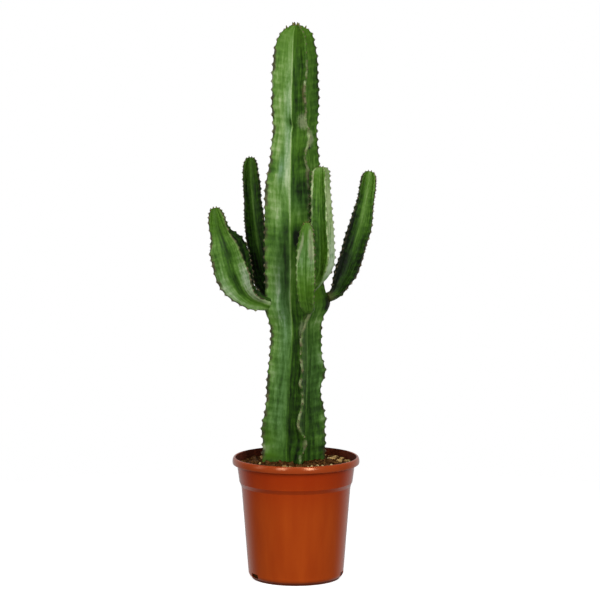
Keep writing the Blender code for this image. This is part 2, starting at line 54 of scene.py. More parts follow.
# Studio
FLOOR_Z = -0.0002
FLOOR_GLOW = 0.72
FLOOR_FADE = (0.2, 0.9)  # where the floor's edge starts and ends, from its middle
WORLD_WHITE = 1.0
WORLD_BACK_SHINE = 0.6  # how bright the white backdrop is in reflections
WORLD_FILL = 0.12  # what the dim studio sends to the plant from the front and sides
WORLD_BELOW = 0.35  # what the pale floor throws back up
WORLD_BACK = 0.55  # what it sends from behind
SOFTBOXES = [  # name, heading in degrees from +X, distance, height, size, watts, height pointed at
    ("softbox_right", -64, 2.3, 1.25, (0.55, 1.7), 36.0, 0.40),
    ("softbox_left", -116, 2.3, 1.25, (0.55, 1.7), 22.0, 0.40),
    ("softbox_side", -160, 2.3, 1.0, (0.55, 1.7), 4.0, 0.25),
    ("softbox_top", -90, 0.9, 2.2, (1.2, 1.2), 7.0, 0.3),
]

# Pot: radii and heights of its outer side, and (radius, height) pairs
POT_SIDES = 144
POT_HEIGHT = 0.164
RIM_R = 0.085
RIM_WIDTH = 0.0042
RIM_ROUND = (0.0026, 0.0064)  # how far the rim's outer edge is rounded, across and down
RIM_SKIRT_Z = 0.1545
SKIRT_WALL = 0.0026
SKIRT_HOLLOW = 0.0030
BAND_TOP_R = 0.0790
BAND_FOOT = (0.0757, 0.1305)
STEP_FOOT = (0.0730, 0.1235)
WALL_FOOT = (0.0642, 0.0115)
BASE_R = 0.0590
WALL = 0.0014
FLOOR = 0.0018
CORNER_Z = FLOOR + 0.0046
CENTRE_R = 0.004  # the floor's two sides are closed inside this radius
INNER_WALL = [
    (BASE_R - WALL, FLOOR),
    (WALL_FOOT[0] - 2 * WALL, CORNER_Z),
    (WALL_FOOT[0] - WALL, WALL_FOOT[1]),
    (0.5 * (WALL_FOOT[0] + STEP_FOOT[0]) - WALL, 0.5 * (WALL_FOOT[1] + STEP_FOOT[1])),
    (STEP_FOOT[0] - WALL, STEP_FOOT[1]),
    (BAND_FOOT[0] - WALL, BAND_FOOT[1] + WALL),
    (BAND_TOP_R - WALL, RIM_SKIRT_Z),
]
DRAIN_HEADINGS = (-150, -14, 30, 166)
DRAIN_SLOT = (0.012, 0.0165, 0.0058)  # through the corner, along it, high
DRAIN_R = WALL_FOOT[0] - 0.0014
DRAIN_Z = 0.0076
DRAIN_BEVEL = 0.0016
SHARP_ANGLE = 38  # degrees, edges that turn more stay sharp
STAIN_SHADE_TOP = POT_HEIGHT - 0.0002
STAIN_SHADE_FADE = 0.0008
STAIN_SHADE_BACK = 0.025  # behind this the rim's top carries the peat staining and painted shade too, and fully at twice as far
RIM_TOP_Z = RIM_SKIRT_Z + 0.004
RIM_TOP_R = RIM_R - 0.0012

# Potting soil
GAP = 0.00035
SOIL_EDGE_Z = 0.1530
SOIL_MOUND = 0.0068
SOIL_ROUGHNESS = 0.0016
SOIL_LUMPS = 95  # to a metre, as are the next two
SOIL_CRUMBS = 210
SOIL_FINE = 520
SOIL_FINE_HEIGHT = 0.0011
SOIL_SIDES = 256
SOIL_RINGS = 44
SOIL_SEED = 17

# Where single bark chips, pumice grains and pale chips lie: (x, y)
CHIP_SPOTS = [
    (0.006, -0.0468), (-0.015, -0.04), (-0.006, -0.049), (0.003, -0.048), (0.012, -0.044),
    (-0.026, -0.036), (0.021, -0.04), (-0.001, -0.054), (-0.038, -0.024), (0.03, -0.033),
]
GRAIN_SPOTS = [
    (0.05, 0.056), (0.061, 0.045), (0.0695, 0.03), (-0.0169, -0.048), (-0.0314, -0.04),
    (0.0159, -0.048), (0.0356, -0.038), (-0.012, -0.053), (0.021, -0.045), (-0.048, -0.02),
]
STRAW_SPOTS = [
    (0.045, 0.04), (0.052, 0.03), (0.06, 0.02), (0.066, 0.008), (0.055, 0.045), (0.04, 0.058),
    (0.07, 0.015), (0.058, 0.0), (0.048, 0.012), (0.036, 0.062), (0.062, 0.036), (0.068, -0.01),
]

# The section that all stems share, in shares of the radius where it isn't said otherwise
RIBS = 4
RIB_TURN = 2 * math.pi / RIBS
RIB_HEADING = -154  # degrees
GROOVE = 0.42
FLANK_OUT = 0.62
FLANK_SIDE = 0.135
ROUND_GROOVE = 0.94
CREST_HALF = 0.0020  # metres, if that is less than the next
CREST_HALF_SHARE = 0.15
VALLEY_ROUND = 0.075  # how far the rounding of a groove's floor reaches
VALLEY_STEPS = 3  # steps across a half rib: round the groove's floor,
RISE_STEPS = 4  # up its side,
FLANK_STEPS = 5  # up to the crest,
CREST_STEPS = 4  # and over it
DOME_RINGS = 7
TANGENT_REACH = 0.002  # metres to either side of a point, for the route's direction there
LEAN_REACH = 0.0012  # and for the crest's lean

# Teeth, growth and finish of the stems
TIP_REACH = 0.018  # the teeth start to crowd this far before a stem's end
TIP_CROWD = 1.1
TIP_LAST = 0.001
TOOTH_FIRST = 0.50
TOOTH_SECOND = 0.16
TOOTH_FULL_R = 0.009  # on thinner stems the teeth are smaller
WORN_MOST = 0.85  # how much lower the teeth are where an arm roots
WORN_FADE = 0.008
CREST_GROWTH = 0.0007
CREST_SWAY = 0.0013
SWAY_FULL_R = 0.03
BAND_DEPTH = 0.00020  # relief of the bands that run in from the teeth
BAND_SLANT = 0.45  # how far they drop towards the groove, as a share of the pitch
BAND_FULL_R = 0.012
FLANK_GROWTH = 0.0006
FLANK_SHARE = 0.3  # how much of a flank's relief also pushes it outward
HORN_FADE = 0.05
RAGGED_EDGE = 0.035  # how far a margin's edge wanders, from groove to crest
YOUNG_MOST = 0.6
YOUNG_REACH = 0.050
PITCHES = {  # over which the random curves change
    "growth": 0.030, "sway": 0.022, "lumps": 0.016, "patches": 0.009, "spots": 0.008, "edge": 0.006,
}
MARK_KINDS = ("cork", "scar", "dent", "tone", "cool", "fresh", "plain")
FACTS = ("crest", "phase", "strip", "tone", "cool", "cork", "scar", "neck", "young", "horn", "margin")
TUFT_RINGS = ((0.20, 0.50, 0.95, 0.15), (0.95, 0.92, 0.85, 0.35))  # depth and length in scales, reach, lean
SPINE_LENGTH = (0.0013, 0.0019)
SPINE_SPLAY = (28, 55)  # degrees to either side
SPINE_RISE = (-6, 16)  # degrees towards the tip
SPINE_FOOT = 0.0006  # from a shield's middle
SPINE_LEAST = 0.45  # the size of the spines on the thinnest stem
SPINE_FULL_R = 0.02
SHIELD_SIZE = (0.0026, 0.0046, 0.0016)  # across, along the crest, thick
SHIELD_SUNK = 0.0003

# Sides of the ribs that the photograph shows: (rib, side)
LEFT, FRONT_LEFT, FRONT_RIGHT, RIGHT = (0, 1), (1, -1), (1, 1), (2, -1)


@dataclass
class Stem:
    """A ribbed stem. Its tables go by the share of its route, from root to tip."""

    name: str
    route: list
    girth: list
    pitch: float
    tooth: float
    first_tooth: float
    ring_pitch: float
    tones: list  # paleness of each rib's two sides, from 0, deep green, to 1, pale with bloom; partly painted shade on sides turned from the light
    vein: float  # paleness of the line along a groove's floor: a painted highlight where pale, painted shade where deep
    margins: list  # each rib's horny margin, from 0, dark, to 1, pale; on ribs at the outline it is dark as painted shade
    armed: list  # size of each rib's spines and shields
    horny: tuple = (1.0, 1.0, 1.0, 1.0)  # how much of each margin shows
    horn_start: tuple = (0.90, 0.90, 0.90, 0.90)  # where each margin starts, from groove to crest
    spotted: tuple = (0.12, 0.12, 0.12, 0.12)  # how much the margins' paleness varies
    vein_width: float = 0.055  # how far up the rib that line fades
    bark: float = 0.0  # how brown the neck is
    tuft: float = 0.0024  # length of the scales on the tip
    neck: float = 0.0
    twist: tuple = ((0.0, 0.0), (1.0, 0.0))
    bare: dict = field(default_factory=dict)  # rib to the stretch where it bears no teeth
    swells: dict = field(default_factory=dict)  # rib to (share, crest out, sides apart)
    sways: dict = field(default_factory=dict)  # rib to (share, crest to the side)
    bloom: tuple = ((0.0, 1.0), (1.0, 1.0))
    marks: tuple = ()


def trunk_share(height):
    return (height - TRUNK_FOOT_Z) / (TRUNK_TIP_Z - TRUNK_FOOT_Z)


def by_share(table):
    return [(trunk_share(height), *values) for height, *values in table]


def arm(name, neck, turned_by, **looks):
    """An arm. Its neck is round, and its ribs are turned from the trunk's by some degrees."""
    return Stem(
        name, pitch=ARM_PITCH, tooth=ARM_TOOTH, first_tooth=neck, ring_pitch=ARM_RING_PITCH, neck=neck,
        twist=((0.0, turned_by), (1.0, turned_by)), **looks,
    )


ARM_PITCH = 0.0092
ARM_TOOTH = 0.0014
ARM_RING_PITCH = 0.0011

TRUNK_FOOT_Z = 0.100
TRUNK_TIP_Z = 0.7385
TRUNK_PLAIN_Z = 0.166
TRUNK_ROUTE = [
    (-0.003, 0.0, TRUNK_FOOT_Z), (-0.003, 0.0, TRUNK_PLAIN_Z), (-0.0023, 0.0, 0.22), (-0.001, 0.0, 0.274),
    (0.0, 0.0, 0.33), (-0.0012, 0.0, 0.39), (-0.002, 0.0, 0.47), (-0.0022, 0.0, 0.56), (-0.0012, 0.0, 0.63),
    (-0.0003, 0.0, 0.7), (0.0002, 0.0, TRUNK_TIP_Z),
]
TRUNK_GIRTH = [
    (TRUNK_FOOT_Z, 0.0425), (0.2, 0.0425), (0.24, 0.0402), (0.274, 0.0402), (0.307, 0.0376), (0.334, 0.0362),
    (0.35, 0.038), (0.372, 0.043), (0.4, 0.0437), (0.5, 0.0437), (0.528, 0.042), (0.548, 0.0382),
    (0.567, 0.0354), (0.587, 0.0328), (0.604, 0.0318), (0.62, 0.0332), (0.64, 0.0344), (0.666, 0.0336),
    (0.693, 0.0322), (0.706, 0.0306), (0.718, 0.0272), (0.7255, 0.0242), (0.7315, 0.019), (0.7358, 0.0112),
]
TRUNK_TWIST = [
    (TRUNK_FOOT_Z, -14.0), (TRUNK_PLAIN_Z, -14.0), (0.23, -9.0), (0.3, -3.0), (0.38, 0.0), (TRUNK_TIP_Z, 0.0),
]

# Stretches of the trunk's ribs where arms root, by height: left, front, right, back.
ARM_ROOTS = {0: (0.35, 0.396), 1: (0.346, 0.41), 2: (0.35, 0.396), 3: (0.346, 0.392)}

# Where a rib stands out or is worn, and how it swells to carry its arms: (height, crest, each side).
TRUNK_SWELLS = {
    0: [
        (0.18, 0, 0), (0.188, 0.0005, 0), (0.198, 0.0025, 0), (0.21, 0.0022, 0), (0.225, 0, 0),
        (0.338, 0, 0), (0.35, 0.0012, 0.001), (0.358, 0.0028, 0.0035), (0.366, 0.0035, 0.0055),
        (0.374, 0.003, 0.005), (0.382, 0.0015, 0.0025), (0.392, 0, 0),
    ],
    1: [
        (0.34, 0, 0), (0.352, 0.0008, 0.0015), (0.362, 0.0018, 0.0045), (0.372, 0.002, 0.0058),
        (0.384, 0.0018, 0.0056), (0.394, 0.0014, 0.004), (0.404, 0.0005, 0.0012), (0.414, 0, 0),
    ],
    2: [
        (0.18, 0, 0), (0.195, 0.0008, 0), (0.204, 0.0005, 0), (0.211, 0.0025, 0), (0.22, 0.0012, 0),
        (0.228, 0.0008, 0), (0.236, -0.0008, 0), (0.2432, -0.0026, 0), (0.2513, -0.0032, 0),
        (0.2593, -0.003, 0), (0.266, 0.0008, 0), (0.2755, 0.004, 0), (0.2836, 0.0036, 0),
        (0.291, 0.0012, 0), (0.3, 0, 0), (0.322, 0.001, 0), (0.338, 0.0012, 0.0005), (0.348, 0.003, 0.002),
        (0.356, 0.0075, 0.0042), (0.364, 0.0098, 0.0052), (0.371, 0.008, 0.0052), (0.38, 0.003, 0.0035),
        (0.39, 0, 0.001), (0.4, 0, 0),
    ],
    3: [
        (0.335, 0, 0), (0.346, 0.001, 0.002), (0.356, 0.0025, 0.0045), (0.364, 0.0028, 0.005),
        (0.374, 0.0015, 0.003), (0.39, 0, 0),
    ],
}

# How the front rib's crest winds, by height.
TRUNK_SWAYS = {
    1: [
        (0.166, -0.0005), (0.174, 0.0025), (0.182, 0.007), (0.19, 0.008), (0.197, 0.0045), (0.205, -0.002),
        (0.213, -0.0062), (0.222, -0.0056), (0.231, -0.003), (0.2395, -0.0006), (0.258, -0.003),
        (0.2677, -0.0082), (0.277, -0.0068), (0.2877, -0.0058), (0.297, -0.008), (0.317, -0.0088),
        (0.333, -0.0085), (0.348, -0.004), (0.36, 0), (0.535, 0), (0.55, 0.0025), (0.558, -0.0007),
        (0.5685, -0.0022), (0.5802, 0.0032), (0.5933, 0.0068), (0.6025, 0.0052), (0.6143, 0),
        (0.6273, -0.0012), (0.643, -0.0028), (0.66, -0.0018), (0.6888, 0.0012), (0.71, 0),
    ],
}

# How much of the pale bloom the trunk keeps, by height. Its old foot has lost most.
TRUNK_BLOOM = [
    (TRUNK_FOOT_Z, 0.56), (0.2, 0.65), (0.25, 0.68), (0.33, 0.82), (0.36, 0.82), (0.4, 0.75), (0.47, 0.74),
    (0.5, 0.88), (0.55, 1.01), (0.6, 0.96), (0.66, 0.9), (TRUNK_TIP_Z, 0.88),
]

# Patches on the sides of ribs, soft at the edge: (kind, sides, [(height, half its length, how far up the
# rib, half its width, amount)]). Tone is paler or deeper: some are patches of the skin, some are painted
# shade in grooves, a dent and beside the arms, and some are painted light where the arms' shadows fall.
# Cool is blue-green wax, fresh is new growth, and plain has no horny margin.
TRUNK_MARKS = [
    ("cork", [FRONT_LEFT], [
        (0.613, 0.013, 0.74, 0.42, 1.25), (0.34, 0.015, 0.75, 0.4, 0.95), (0.17, 0.004, 0.9, 0.12, 1),
    ]),
    ("cork", [FRONT_RIGHT], [
        (0.608, 0.015, 0.75, 0.5, 1.25), (0.57, 0.008, 0.95, 0.25, 0.8), (0.194, 0.0035, 0.7, 0.12, 1),
        (0.181, 0.0035, 0.55, 0.12, 1),
    ]),
    ("cork", [RIGHT], [(0.589, 0.015, 0.42, 0.32, 1.3)]),
    ("cork", [LEFT], [(0.665, 0.022, 0.97, 0.08, 1)]),
    ("scar", [FRONT_LEFT], [(0.352, 0.015, 0.8, 0.18, 0.5), (0.65, 0.02, 0.84, 0.16, 0.8)]),
    ("scar", [LEFT], [(0.1755, 0.006, 0.9, 0.22, 0.35)]),
    ("dent", [LEFT], [(0.607, 0.0075, 0.06, 0.16, 0.003)]),
    ("dent", [FRONT_LEFT], [(0.605, 0.006, 0.04, 0.12, 0.0022)]),
    # Among these, painted shade deep in the groove, in the dent and along the groove's floor low down.
    ("tone", [LEFT], [
        (0.175, 0.006, 0.9, 0.25, 0.45), (0.163, 0.006, 0.75, 0.4, -0.25),
        (0.6104, 0.008, 0.07, 0.14, -0.5), (0.6433, 0.022, 0.14, 0.15, 0.3),
        (0.5553, 0.04, 0.16, 0.14, 0.24), (0.57, 0.045, 0.58, 0.09, 0.12), (0.56, 0.05, 0.36, 0.06, -0.16),
        (0.56, 0.045, 0.86, 0.08, -0.18), (0.4987, 0.017, 0.62, 0.3, 0.16),
        (0.4605, 0.012, 0.6, 0.5, -0.16), (0.43, 0.07, 0.14, 0.17, -0.32), (0.395, 0.042, 0.5, 0.06, 0.4),
        (0.4419, 0.006, 0.86, 0.2, 0.2), (0.179, 0.007, 0.96, 0.14, 0.3),
        (0.5515, 0.0085, 0.7, 0.24, -0.32), (0.23, 0.085, 0, 0.07, -0.42),
    ]),
    # Among these, painted shadows beside the right front arm and the short front arm, painted light where the
    # arms' shadows fall, and painted shade along the groove's floor low down.
    ("tone", [FRONT_LEFT], [
        (0.584, 0.018, 0.6, 0.4, 0.05), (0.5224, 0.018, 0.7, 0.45, -0.22), (0.4605, 0.013, 0.3, 0.14, -0.5),
        (0.495, 0.03, 0.3, 0.3, 0.12), (0.488, 0.018, 0.7, 0.4, 0.22), (0.23, 0.085, 0, 0.07, -0.36),
        (0.4, 0.033, 0.18, 0.3, 0.26),
    ]),
    ("tone", [RIGHT], [
        (0.21, 0.04, 0.5, 1, -0.08), (0.32, 0.025, 0.5, 1, 0.05), (0.588, 0.003, 0.5, 0.12, -0.6),
        (0.578, 0.003, 0.35, 0.12, -0.6), (0.66, 0.07, 0.95, 0.35, -0.22), (0.2943, 0.01, 0.86, 0.18, 0.35),
        (0.2609, 0.006, 0.94, 0.14, 0.5), (0.2154, 0.0085, 0.8, 0.28, 0.38),
        (0.188, 0.006, 0.66, 0.2, 0.28), (0.3436, 0.008, 0.55, 0.3, 0.25), (0.3662, 0.01, 0.88, 0.2, -0.4),
    ]),
    ("cool", [LEFT], [
        (0.37, 0.1, 0.28, 0.34, 0.8), (0.22, 0.07, 0.4, 0.45, 0.55), (0.6, 0.07, 0.15, 0.22, 0.6),
        (0.55, 0.016, 0.42, 0.14, 0.9),
    ]),
    ("cool", [RIGHT], [(0.27, 0.07, 0.45, 0.7, 0.55)]),
    ("cool", [FRONT_LEFT], [(0.515, 0.02, 0.55, 0.6, 0.6)]),
    ("fresh", [LEFT], [(0.166, 0.007, 0.75, 0.5, 0.7), (0.188, 0.017, 0.7, 0.3, 0.55)]),
    ("fresh", [FRONT_LEFT], [(0.584, 0.018, 0.55, 0.45, 0.4), (0.3822, 0.012, 0.85, 0.3, 0.8)]),
    ("fresh", [FRONT_RIGHT], [(0.3822, 0.012, 0.5, 0.6, 0.8)]),
    ("fresh", [RIGHT], [(0.3822, 0.012, 0.35, 0.35, 0.8)]),
    ("plain", [FRONT_LEFT, FRONT_RIGHT], [
        (0.176, 0.0035, 1, 1, 0.9), (0.202, 0.0035, 1, 1, 0.9), (0.237, 0.0035, 1, 1, 0.9),
        (0.26, 0.0035, 1, 1, 0.9), (0.305, 0.0035, 1, 1, 0.9), (0.47, 0.09, 1, 1, 0.8),
        (0.715, 0.035, 1, 1, 0.9),
    ]),
]

TRUNK = Stem(
    name="trunk",
    route=TRUNK_ROUTE,
    girth=by_share(TRUNK_GIRTH),
    pitch=0.0110,
    tooth=0.0014,
    first_tooth=TRUNK_PLAIN_Z + 0.004 - TRUNK_FOOT_Z,
    ring_pitch=0.0013,
    # The front rib's left side is painted deep as shade, turned from the light.
    tones=[(0.60, 0.70), (0.322, 0.44), (0.48, 0.55), (0.60, 0.50)],
    vein=1.0,
    vein_width=0.08,
    horny=[1.0, 0.85, 1.0, 1.0],
    horn_start=[0.86, 0.89, 0.86, 0.88],
    # The margins of the ribs on the outline are dark as painted shade, the front rib's pale.
    margins=[0.08, 0.66, 0.08, 0.2],
    spotted=[0.15, 0.30, 0.12, 0.15],
    armed=[1.0, 0.6, 1.0, 1.0],
    tuft=0.0046,
    twist=by_share(TRUNK_TWIST),
    bare={rib: [z - TRUNK_FOOT_Z for z in span] for rib, span in ARM_ROOTS.items()},
    swells={rib: by_share(rows) for rib, rows in TRUNK_SWELLS.items()},
    sways={rib: by_share(rows) for rib, rows in TRUNK_SWAYS.items()},
    bloom=by_share(TRUNK_BLOOM),
    marks=TRUNK_MARKS,
)

ARMS = [
    arm(
        "arm_left_front", neck=0.016, turned_by=19,
        route=[
            (-0.0375, -0.0172, 0.3722), (-0.045, -0.021, 0.3742), (-0.059, -0.028, 0.38),
            (-0.0705, -0.034, 0.391), (-0.0787, -0.0385, 0.406), (-0.0848, -0.0418, 0.422),
            (-0.0897, -0.0444, 0.442), (-0.095, -0.0465, 0.458), (-0.1, -0.0488, 0.472),
            (-0.1033, -0.0505, 0.485), (-0.1058, -0.0515, 0.5015),
        ],
        girth=[
            (0, 0.0098), (0.046, 0.0113), (0.141, 0.0158), (0.237, 0.0198), (0.343, 0.0265),
            (0.449, 0.0309), (0.565, 0.0314), (0.639, 0.0302), (0.682, 0.0282), (0.724, 0.0234),
            (0.767, 0.019), (0.82, 0.0167), (0.894, 0.0151), (0.947, 0.0128), (0.984, 0.0086),
        ],
        # The sides behind its right crest are painted deep as shade.
        tones=[(0.5, 0.46), (0.66, 0.15), (0.08, 0.4), (0.45, 0.45)], vein=0.22, vein_width=0.42,
        margins=[0.14, 0.25, 0, 0.15], horn_start=[0.84, 0.9, 0.9, 0.9], armed=[1, 0.8, 1, 1],
        bloom=[(0, 1.2), (0.15, 1.2), (0.4, 1.04), (0.7, 1), (0.85, 0.82), (1, 0.64)],
        swells={
            1: [
                (0.42, 0, 0), (0.52, -0.003, 0), (0.6, -0.0056, 0), (0.67, -0.0056, 0), (0.75, -0.0018, 0),
                (0.82, 0, 0),
            ],
            2: [
                (0.16, 0, 0), (0.28, 0.0036, 0.001), (0.45, 0.0036, 0.001), (0.66, 0.0035, 0.001),
                (0.78, 0, 0),
            ],
        },
        marks=[
            ("cork", [FRONT_LEFT], [(0.418, 0.024, 0.7, 0.34, 0.5)]),
            ("tone", [FRONT_LEFT], [
                (0.402, 0.028, 0.78, 0.34, 0.22), (0.448, 0.018, 0.4, 0.4, -0.2),
                (0.38, 0.012, 0.6, 0.5, 0.22),
            ]),
            ("tone", [LEFT], [
                (0.4, 0.028, 0.7, 0.45, 0.32), (0.465, 0.02, 0.9, 0.3, 0.16),
                (0.376, 0.012, 0.6, 0.6, 0.12),
            ]),
            ("cool", [FRONT_LEFT], [(0.406, 0.028, 0.75, 0.4, 0.6)]),
            ("cool", [LEFT], [(0.405, 0.04, 0.75, 0.45, 0.4)]),
            ("fresh", [LEFT, FRONT_LEFT], [(0.372, 0.016, 0.4, 0.6, 0.5)]),
        ],
    ),
    arm(
        "arm_back_left", neck=0.022, turned_by=19,
        route=[
            (-0.0195, 0.035, 0.362), (-0.0265, 0.041, 0.369), (-0.036, 0.051, 0.387),
            (-0.045, 0.0605, 0.413), (-0.0523, 0.067, 0.445), (-0.057, 0.0705, 0.482),
            (-0.0596, 0.073, 0.516), (-0.0613, 0.0742, 0.543), (-0.0616, 0.0745, 0.56),
        ],
        girth=[
            (0, 0.0075), (0.047, 0.0098), (0.161, 0.0165), (0.296, 0.0196), (0.451, 0.0192),
            (0.586, 0.0186), (0.669, 0.0168), (0.725, 0.0153), (0.782, 0.0158), (0.855, 0.0149),
            (0.927, 0.0129), (0.964, 0.0112), (0.988, 0.008),
        ],
        # Painted shade: behind the trunk and the left front arm, this arm's tones, bloom and tone marks paint
        # it deep, its foot deepest.
        tones=[(0.18, 0.17), (0.21, 0.2), (0.25, 0.25), (0.3, 0.25)], vein=0.6, vein_width=0.24,
        margins=[0, 0, 0, 0], armed=[0.8, 0.8, 0.9, 0.9], bark=0.3,
        bloom=[(0, 0.2), (0.35, 0.5), (0.6, 1), (1, 1.05)],
        swells={
            rib: [(0.03, 0, 0), (0.12, 0.0058, 0.001), (0.3, 0.0048, 0.001), (0.45, 0, 0)] for rib in (0, 3)
        },
        marks=[
            ("tone", [LEFT], [(0.47, 0.12, 1, 0.4, -0.12)]),
            ("tone", [FRONT_LEFT], [(0.47, 0.12, 1, 0.3, -0.12)]),
        ],
    ),
    arm(
        "arm_right_front", neck=0.032, turned_by=0,
        route=[
            (0.0175, -0.034, 0.39), (0.0215, -0.0368, 0.3955), (0.0272, -0.0388, 0.403),
            (0.0325, -0.0412, 0.4155), (0.035, -0.044, 0.437), (0.0345, -0.046, 0.462),
            (0.0333, -0.0475, 0.492), (0.0326, -0.049, 0.525), (0.033, -0.05, 0.555),
        ],
        girth=[
            (0, 0.0065), (0.1, 0.0085), (0.17, 0.011), (0.235, 0.0143), (0.305, 0.0164), (0.448, 0.0168),
            (0.581, 0.0162), (0.713, 0.015), (0.823, 0.0139), (0.934, 0.0127), (0.972, 0.0118),
            (0.99, 0.0084),
        ],
        tones=[(0.45, 0.38), (0.38, 0.9), (0.98, 0.6), (0.5, 0.45)], vein=0.5, vein_width=0.12,
        margins=[0.95, 1, 0.14, 0.25], horny=[1, 1, 0.9, 1], horn_start=[0.74, 0.9, 0.9, 0.9],
        armed=[0.6, 0.4, 0.9, 1], bark=0.2,
        bloom=[(0, 1.12), (0.25, 1.08), (0.45, 0.95), (0.6, 0.95), (0.9, 1.15), (1, 1.45)],
        swells={2: [(0.1, 0, 0), (0.2, 0.0032, 0.001), (0.3, 0.0016, 0), (0.38, 0, 0)]},
        marks=[
            ("tone", [FRONT_LEFT], [(0.556, 0.008, 0.5, 1, 0.2), (0.425, 0.022, 0.6, 0.6, 0.16)]),
            ("tone", [LEFT], [(0.556, 0.008, 0.5, 1, 0.2)]),
            ("tone", [FRONT_RIGHT, RIGHT], [(0.398, 0.018, 0.5, 1.2, -0.34)]),
            ("cool", [RIGHT, FRONT_RIGHT], [(0.43, 0.035, 0.5, 0.8, 0.65)]),
            ("fresh", [FRONT_LEFT], [(0.44, 0.03, 0.5, 0.6, 0.6)]),
            ("fresh", [LEFT], [(0.395, 0.016, 0.5, 0.7, 0.7)]),
            ("plain", [LEFT], [(0.44, 0.045, 1, 1, 0.9)]),
            ("plain", [FRONT_RIGHT, FRONT_LEFT, RIGHT], [(0.398, 0.02, 1, 1, 0.9)]),
        ],
    ),
    arm(
        "arm_front_short", neck=0.02, turned_by=19,
        route=[
            (0.0172, -0.0345, 0.367), (0.0162, -0.043, 0.3715), (0.0142, -0.0535, 0.3825),
            (0.0127, -0.0612, 0.4), (0.0123, -0.0665, 0.425), (0.0132, -0.0695, 0.452),
            (0.0145, -0.07, 0.484),
        ],
        girth=[
            (0, 0.0078), (0.134, 0.0115), (0.3, 0.0147), (0.5, 0.0164), (0.711, 0.0157), (0.817, 0.0134),
            (0.9, 0.0119), (0.944, 0.0099), (0.983, 0.0062),
        ],
        tones=[(0.6, 0.68), (0.72, 0.6), (0.45, 0.5), (0.45, 0.45)], vein=0.45, vein_width=0.12,
        margins=[0.6, 0.5, 0.25, 0.3], horny=[0.35, 0.5, 1, 1], armed=[0.35, 0.7, 1, 0.9],
        bloom=[(0, 0.78), (0.45, 0.82), (0.6, 1), (1, 0.92)],
        marks=[
            ("cork", [LEFT], [(0.46, 0.015, 0.55, 0.26, 1.3), (0.442, 0.01, 0.85, 0.22, 1.3)]),
            ("cork", [FRONT_LEFT], [(0.448, 0.013, 0.62, 0.42, 1.8), (0.47, 0.008, 0.55, 0.34, 1.4)]),
            ("tone", [LEFT], [(0.462, 0.012, 0.3, 0.14, -0.35), (0.47, 0.014, 0.97, 0.25, -0.3)]),
            ("cool", [LEFT, FRONT_LEFT], [(0.45, 0.028, 0.5, 0.7, 0.55)]),
            ("fresh", [LEFT, FRONT_LEFT], [(0.395, 0.022, 0.5, 0.9, 0.6)]),
            ("plain", [LEFT, FRONT_LEFT, FRONT_RIGHT], [(0.403, 0.026, 1, 1, 1)]),
        ],
    ),
    arm(
        "arm_right", neck=0.018, turned_by=19,
        route=[
            (0.042, 0.0205, 0.3755), (0.049, 0.024, 0.3785), (0.056, 0.0278, 0.3855),
            (0.0615, 0.031, 0.3965), (0.068, 0.0345, 0.411), (0.0768, 0.0385, 0.437),
            (0.0872, 0.0425, 0.476), (0.0934, 0.0445, 0.506), (0.099, 0.0465, 0.543),
        ],
        girth=[
            (0, 0.0068), (0.038, 0.008), (0.102, 0.0122), (0.176, 0.0168), (0.25, 0.0203), (0.366, 0.0208),
            (0.577, 0.0207), (0.651, 0.0194), (0.72, 0.0171), (0.789, 0.0149), (0.863, 0.0147),
            (0.926, 0.0134), (0.968, 0.0114), (0.989, 0.008),
        ],
        # Painted shade: this arm's tones paint it deep.
        tones=[(0.2, 0.3), (0.44, 0.26), (0.3, 0.3), (0.3, 0.25)], vein=0.76, vein_width=0.42,
        margins=[0, 0, 0.05, 0.1], armed=[0.8, 0.9, 1, 1], bark=0.7,
        bloom=[(0, 0.5), (0.35, 0.56), (0.55, 0.66), (0.75, 0.94), (1, 1)],
        # Its tone marks are painted shade, up the left side and along the grooves' floors low down.
        marks=[
            ("tone", [LEFT], [
                (0.47, 0.1, 1, 0.42, -0.32), (0.405, 0.042, 0, 0.26, -0.26),
                (0.39, 0.045, 0.8, 0.55, -0.22),
            ]),
            ("tone", [FRONT_LEFT], [(0.405, 0.042, 0, 0.26, -0.26), (0.43, 0.06, 1, 0.3, -0.28)]),
        ],
    ),
]

SKIN_GREENS = [
    (0.0, "#0c1806"), (0.2, "#26460a"), (0.4, "#3d6515"),
    (0.6, "#577f2b"), (0.8, "#7b9a54"), (1.0, "#a5b884"),
]
WAX_GREENS = [
    (0.0, "#0c1808"), (0.2, "#223f14"), (0.4, "#3a6028"),
    (0.6, "#557b4a"), (0.8, "#7a9978"), (1.0, "#a8bca2"),
]
MARGIN_HORN = [(0.15, "#2b2a18"), (0.3, "#48442c"), (0.55, "#7a7455"), (0.75, "#8c9869"), (0.92, "#b6ca94")]
HORN_LOOK = [(0.3, "#33261a"), (0.55, "#56442f"), (0.75, "#85775a")]
SHIELD_LOOK = [(0.32, "#453827"), (0.5, "#6a5b3f"), (0.7, "#a39a78")]
CHIP_LOOK = [(0.3, "#2e1908"), (0.5, "#523317"), (0.68, "#7c582b"), (0.85, "#a37f4b")]
PEAT_LOOK = [(0.3, "#241204"), (0.5, "#472607"), (0.68, "#6f4515"), (0.8, "#94692e")]
STRAW_LOOK = [(0.3, "#76572d"), (0.5, "#ab8a54"), (0.75, "#d8be86")]
SCALE_LOOK = [(0.3, "#3f3a1c"), (0.5, "#66622f"), (0.75, "#8f8a55")]
PUMICE_LOOK = [(0.3, "#9c8552"), (0.55, "#cbb67e"), (0.75, "#e6d7a8")]

SMOOTH = {"interpolation_type": "SMOOTHSTEP"}
RGBA = {"data_type": "RGBA"}


def linear(code):
    """An sRGB hex colour as linear red, green, blue and alpha."""
    parts = [int(code[i : i + 2], 16) / 255 for i in (1, 3, 5)]
    return (*[p / 12.92 if p <= 0.04045 else ((p + 0.055) / 1.055) ** 2.4 for p in parts], 1.0)


